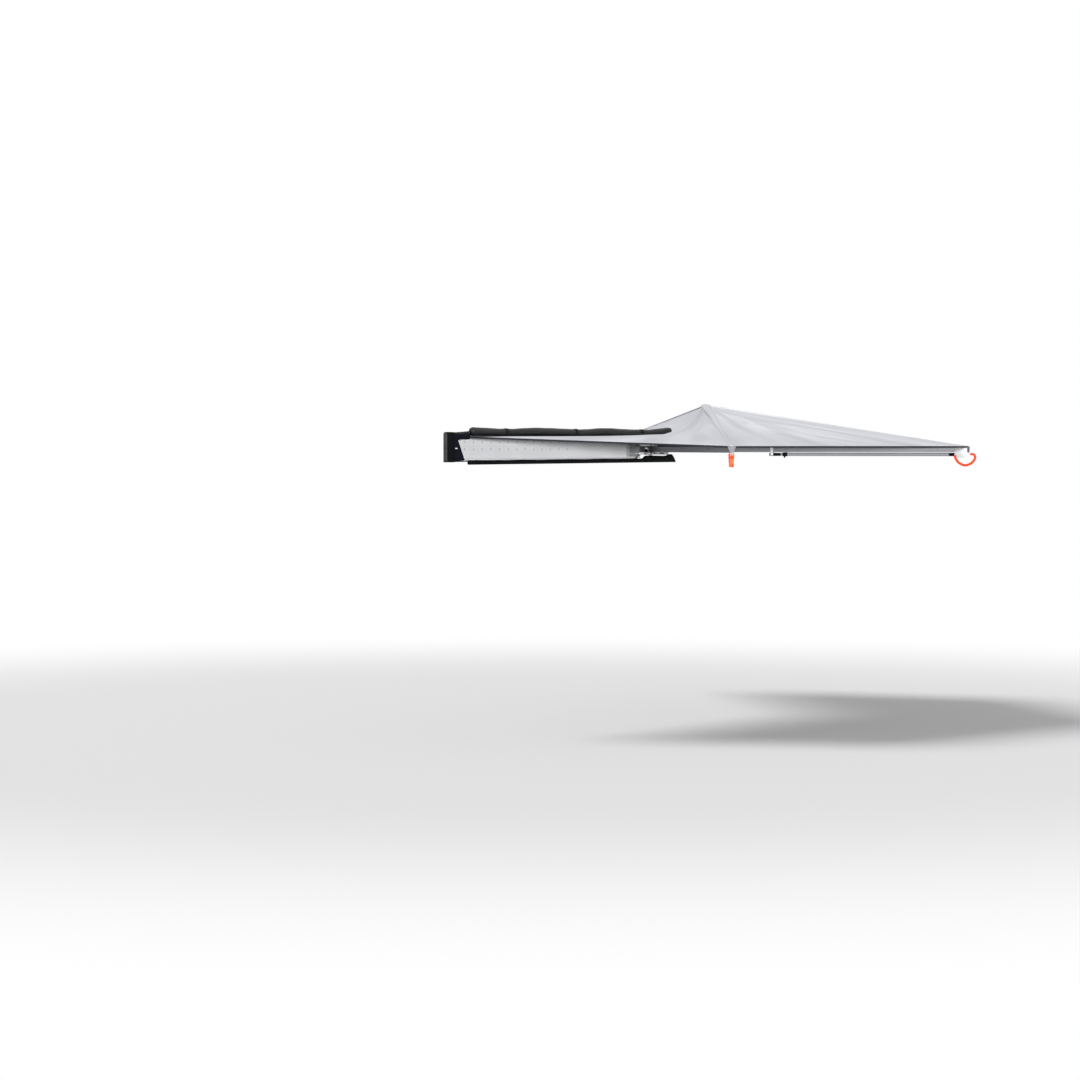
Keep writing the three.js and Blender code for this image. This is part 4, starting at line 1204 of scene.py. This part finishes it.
def strap_hank():
    parts = [(name, color, merged([hank_turn(*turn) for turn in turns])) for name, color, turns in HANK]
    parts.append(("tie_strap_wrap", ORANGE, hank_wrap()))
    for name, material, part in parts:
        piece = add_mesh(name, moved(part, arm_matrix(1)), "arm_1", "orange_strap", material)
        if name == "tie_strap_hank":
            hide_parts("tie_strap_1")
        flatten(piece, (0, 0, HANK_TOP))


# Tie strap at the second tip, hanging as one open loop beside the leg bracket
LOOP_START = 2265 * MM
LOOP_LENGTH = 146 * MM
LOOP_DROP = 74 * MM
LOOP_TOP = 58 * MM
LOOP_BAND = 18 * MM
LOOP_THICK = 2.4 * MM
LOOP_GAP = 3.6 * MM
LOOP_SHARES = [
    (0, 0), (0.03, 0.3), (0.2, 0.75), (0.5, 1), (0.8, 0.82), (0.97, 0.45), (1, 0.15), (0.93, -0.06),
    (0.76, -0.1),
]


def strap_loop():
    number = 2
    side = -(ARM_WIDTH * HALF + LOOP_GAP + LOOP_THICK)
    points = [Vector((LOOP_START + a * LOOP_LENGTH, side, -LOOP_TOP - b * LOOP_DROP)) for a, b in LOOP_SHARES]
    part = swept(smooth_path(points, 8), rounded_section(LOOP_BAND, LOOP_THICK, 1 * MM, 3), OUTWARD)
    piece = add_mesh("tie_strap_loop", moved(part, arm_matrix(number)), "arm_2", "orange_strap", ORANGE)
    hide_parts("tie_strap_2")
    flatten(piece, on_arm(number, LOOP_START, 0, -LOOP_TOP))


# Legs: round parts with rounded edges, as distance and radius in mm
LEG_Z = -54 * MM
OUTER_TUBE = tube_profile(1214.5, 12.5, 10.6, 0.6)
INNER_TUBE = tube_profile(1055, 10, 8.2, 0.5)
COLLAR_RIB = [(3, 14.4), (5, 14.4), (5.6, 15.2), (6.8, 15.2)]
COLLAR_PITCH = 4.4
COLLAR_RIBS = [(start + COLLAR_PITCH * index, radius) for index in range(7) for start, radius in COLLAR_RIB]
COLLAR = [(0, 12.9), (0, 14)] + COLLAR_RIBS + [(33.8, 14.4), (36, 14), (36, 12.9)]
FOOT = [
    (0, 8), (1, 11), (4, 12), (8, 12), (9, 11.2), (12, 11.2), (13, 12), (17, 12), (18, 11.2), (21, 11.2),
    (22, 12), (46, 11.8), (49.7, 11.4), (84, 11.2), (86, 10.6), (86, 9.9),
]

# Piece, node, body, reach in mm, profile, whether it is hollow, sides, slot and material
LEG_PARTS = [
    ("leg_outer_tube", "leg_tube", "leg", 1005, OUTER_TUBE, True, 40, "silver_aluminium", TUBE_METAL_PAINTED_REFLECTION),
    ("leg_inner_tube", "leg_inner", "leg_slide", 945, INNER_TUBE, True, 40, "silver_aluminium", TUBE_METAL_PAINTED_REFLECTION),
    ("leg_clamp_collar", "leg_collar", "leg", 995, COLLAR, True, 36, "black_plastic", BLACK_PLASTIC),
    ("leg_rubber_foot", "leg_foot", "leg_slide", 894.7, FOOT, False, 32, "black_plastic", BLACK_PLASTIC),
]

# The clamp knob: distance, radius and depth of its flutes in mm, and its lever
KNOB_RINGS = [(0, 8, 0.3), (1, 12, 0.3), (3, 13, 0.9), (9, 13, 0.9), (11, 12, 0.3), (12, 9, 0.3)]
KNOB_REACH = 1013 * MM
KNOB_SIDE = -15.6 * MM
KNOB_DROP = 5 * MM
KNOB_FLUTES = 12
KNOB_SIDES = 48
LEVER_HALF = 4.5 * MM
LEVER_SIDES = (-27.5 * MM, -21.5 * MM)
LEVER_DROP = 26 * MM


def clamp_knob(number):
    start = on_arm(number, KNOB_REACH, KNOB_SIDE, LEG_Z - KNOB_DROP)
    along, across = arm_turned(number, FORWARD), arm_turned(number, OUTWARD)
    rings = []
    for distance, radius, flute in KNOB_RINGS:
        ring = []
        for step, (a, b) in enumerate(circle(KNOB_SIDES)):
            reach = (radius - flute * (HALF + HALF * math.cos(TURN * KNOB_FLUTES * step / KNOB_SIDES))) * MM
            ring.append(start - across * distance * MM + along * reach * a + UP * reach * b)
        rings.append(ring)
    lever = soft_block((KNOB_REACH - LEVER_HALF, LEVER_SIDES[0], LEG_Z - LEVER_DROP),
                       (KNOB_REACH + LEVER_HALF, LEVER_SIDES[1], LEG_Z - KNOB_DROP), 1.4 * MM)
    return merged([loft(rings), moved(lever, arm_matrix(number))])


def leg_pieces(number):
    for name, node, body, reach, profile, hollow, sides, slot, material in LEG_PARTS:
        start = on_arm(number, reach * MM, 0, LEG_Z)
        part = turned(start, arm_turned(number, FORWARD), in_mm(profile), sides, hollow)
        piece = add_mesh(f"{name}_{number}", part, f"{body}_{number}", slot, material, crease=ROUND_CREASE)
        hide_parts(f"{node}_{number}")
    knob = add_mesh(f"leg_clamp_knob_{number}", clamp_knob(number), f"leg_knob_{number}", "black_plastic",
                    BLACK_PLASTIC, crease=ROUND_CREASE)
    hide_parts(f"leg_knob_{number}")


# Peak post on its base, with its domed cap as distance and radius in mm
POST_BASE_HALVES = (30 * MM, 12 * MM)
POST_BASE_HEIGHT = 16 * MM
PEAK_POST_RADIUS = 10 * MM
POST_SEAT = 0.3 * MM
DOME = [(0, 29), (0.8, 30), (2, 29.6), (3.4, 25), (4, 14), (4, 1)]


def peak_parts():
    foot = on_arm(PEAK_ARM, PEAK_REACH, 0, ARM_TOP + POST_SEAT)
    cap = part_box("peak_cap")
    long, wide = POST_BASE_HALVES
    base = soft_block((PEAK_REACH - long, -wide, foot.z),
                      (PEAK_REACH + long, wide, foot.z + POST_BASE_HEIGHT), 2 * MM)
    post = turned(foot, UP, rod_profile(cap[0].z - foot.z - POST_SEAT, PEAK_POST_RADIUS, 0.8 * MM))
    part = merged([moved(base, arm_matrix(PEAK_ARM)), post])
    piece = add_mesh("peak_pole", part, "arm_2", "silver_aluminium", SILVER, crease=ROUND_CREASE)
    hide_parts("peak_post")
    middle = Vector((PEAK.x, PEAK.y, cap[0].z))
    piece = add_mesh("peak_disc", turned(middle, UP, in_mm(DOME), 48), "arm_2", "black_plastic", PEAK_CLOTH)
    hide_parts("peak_cap")


# Camera, light and ground
WORLD_LIGHT = 0.36
GROUND_Z = -2.005
GROUND_RADIUS = 12.0
GROUND_TONE = (0.92, 0.92, 0.92)
GROUND_BOUNCE = (0.5, 0.5, 0.5)
GROUND_SIDES = 96
GROUND_FADE_START = 5.0
GROUND_FADE_END = 11.0

# Suns: direction towards each, strength and angle in degrees
SUNS = {"key": ((0.3, -0.45, 0.84), 1.6, 24), "horizon": ((0.65, 0.75, 0.013), 3.0, 3)}


def set_camera():
    data = bpy.data.cameras.new("photo_camera")
    data.sensor_width = CAMERA_SENSOR_MM
    data.lens = CAMERA_LENS_MM
    data.clip_end = CAMERA_CLIP_END
    camera = linked("photo_camera", data)
    camera.location = CAMERA_PLACE
    aim(camera, CAMERA_AIM)
    bpy.context.scene.camera = camera


def set_suns():
    for name, (towards, strength, degrees) in SUNS.items():
        data = bpy.data.lights.new(name, "SUN")
        data.energy = strength
        data.angle = math.radians(degrees)
        aim(linked(name, data), -Vector(towards))


def set_world():
    world = bpy.data.worlds.new("studio")
    world.use_nodes = True
    bpy.context.scene.world = world
    made = Shading(world.node_tree)
    level = made.node("MapRange", {"To Min": WORLD_LIGHT, "To Max": 1.0, "Value": made.seen()})
    made.fill(made.tree.nodes["Background"], {"Strength": level.outputs["Result"], "Color": (1, 1, 1, 1)})


def ground_material():
    made = Surface("ground", GROUND_TONE, 0.9)
    made.fill(made.shader, {"Base Color": made.ramp(made.seen(), GROUND_BOUNCE, GROUND_TONE, 0.0, 1.0)})
    limits = {"From Min": GROUND_FADE_START, "From Max": GROUND_FADE_END}
    limits["Value"] = made.vector("LENGTH", made.place)
    fade = made.node("MapRange", limits, interpolation_type="SMOOTHSTEP").outputs["Result"]
    far = made.scalar("MULTIPLY", fade, made.ray("Camera"))
    glow = made.node("Emission", {"Strength": 1.0})
    mix = made.node("MixShader", {"Fac": far, 1: made.shader.outputs["BSDF"], 2: glow.outputs["Emission"]})
    made.fill(made.tree.nodes["Material Output"], {"Surface": mix.outputs["Shader"]})
    return made.material


def set_ground():
    mesh = bpy.data.meshes.new("ground")
    rim = [(a, b, GROUND_Z) for a, b in circle(GROUND_SIDES, GROUND_RADIUS)]
    mesh.from_pydata(rim, [], [tuple(range(GROUND_SIDES))])
    mesh.materials.append(ground_material())
    linked("ground", mesh)


set_camera()
set_world()
set_suns()
set_ground()
bpy.context.scene.view_settings.view_transform = "Standard"

finish_rigid_parts()
plate_rivets()
hinge_slots_painted_shade()
hinge_bolts()
hinge_strip()
end_wall()
cover_roof(cover_roll())
roll_ties()
tray_floor(tray_lip())
canopy_panels()
keder_and_painted_shade()
for arm_number in EACH_ARM:
    corner_tab(arm_number)
strap_hank()
strap_loop()
for arm_number in LEG_ARMS:
    leg_pieces(arm_number)
peak_parts()
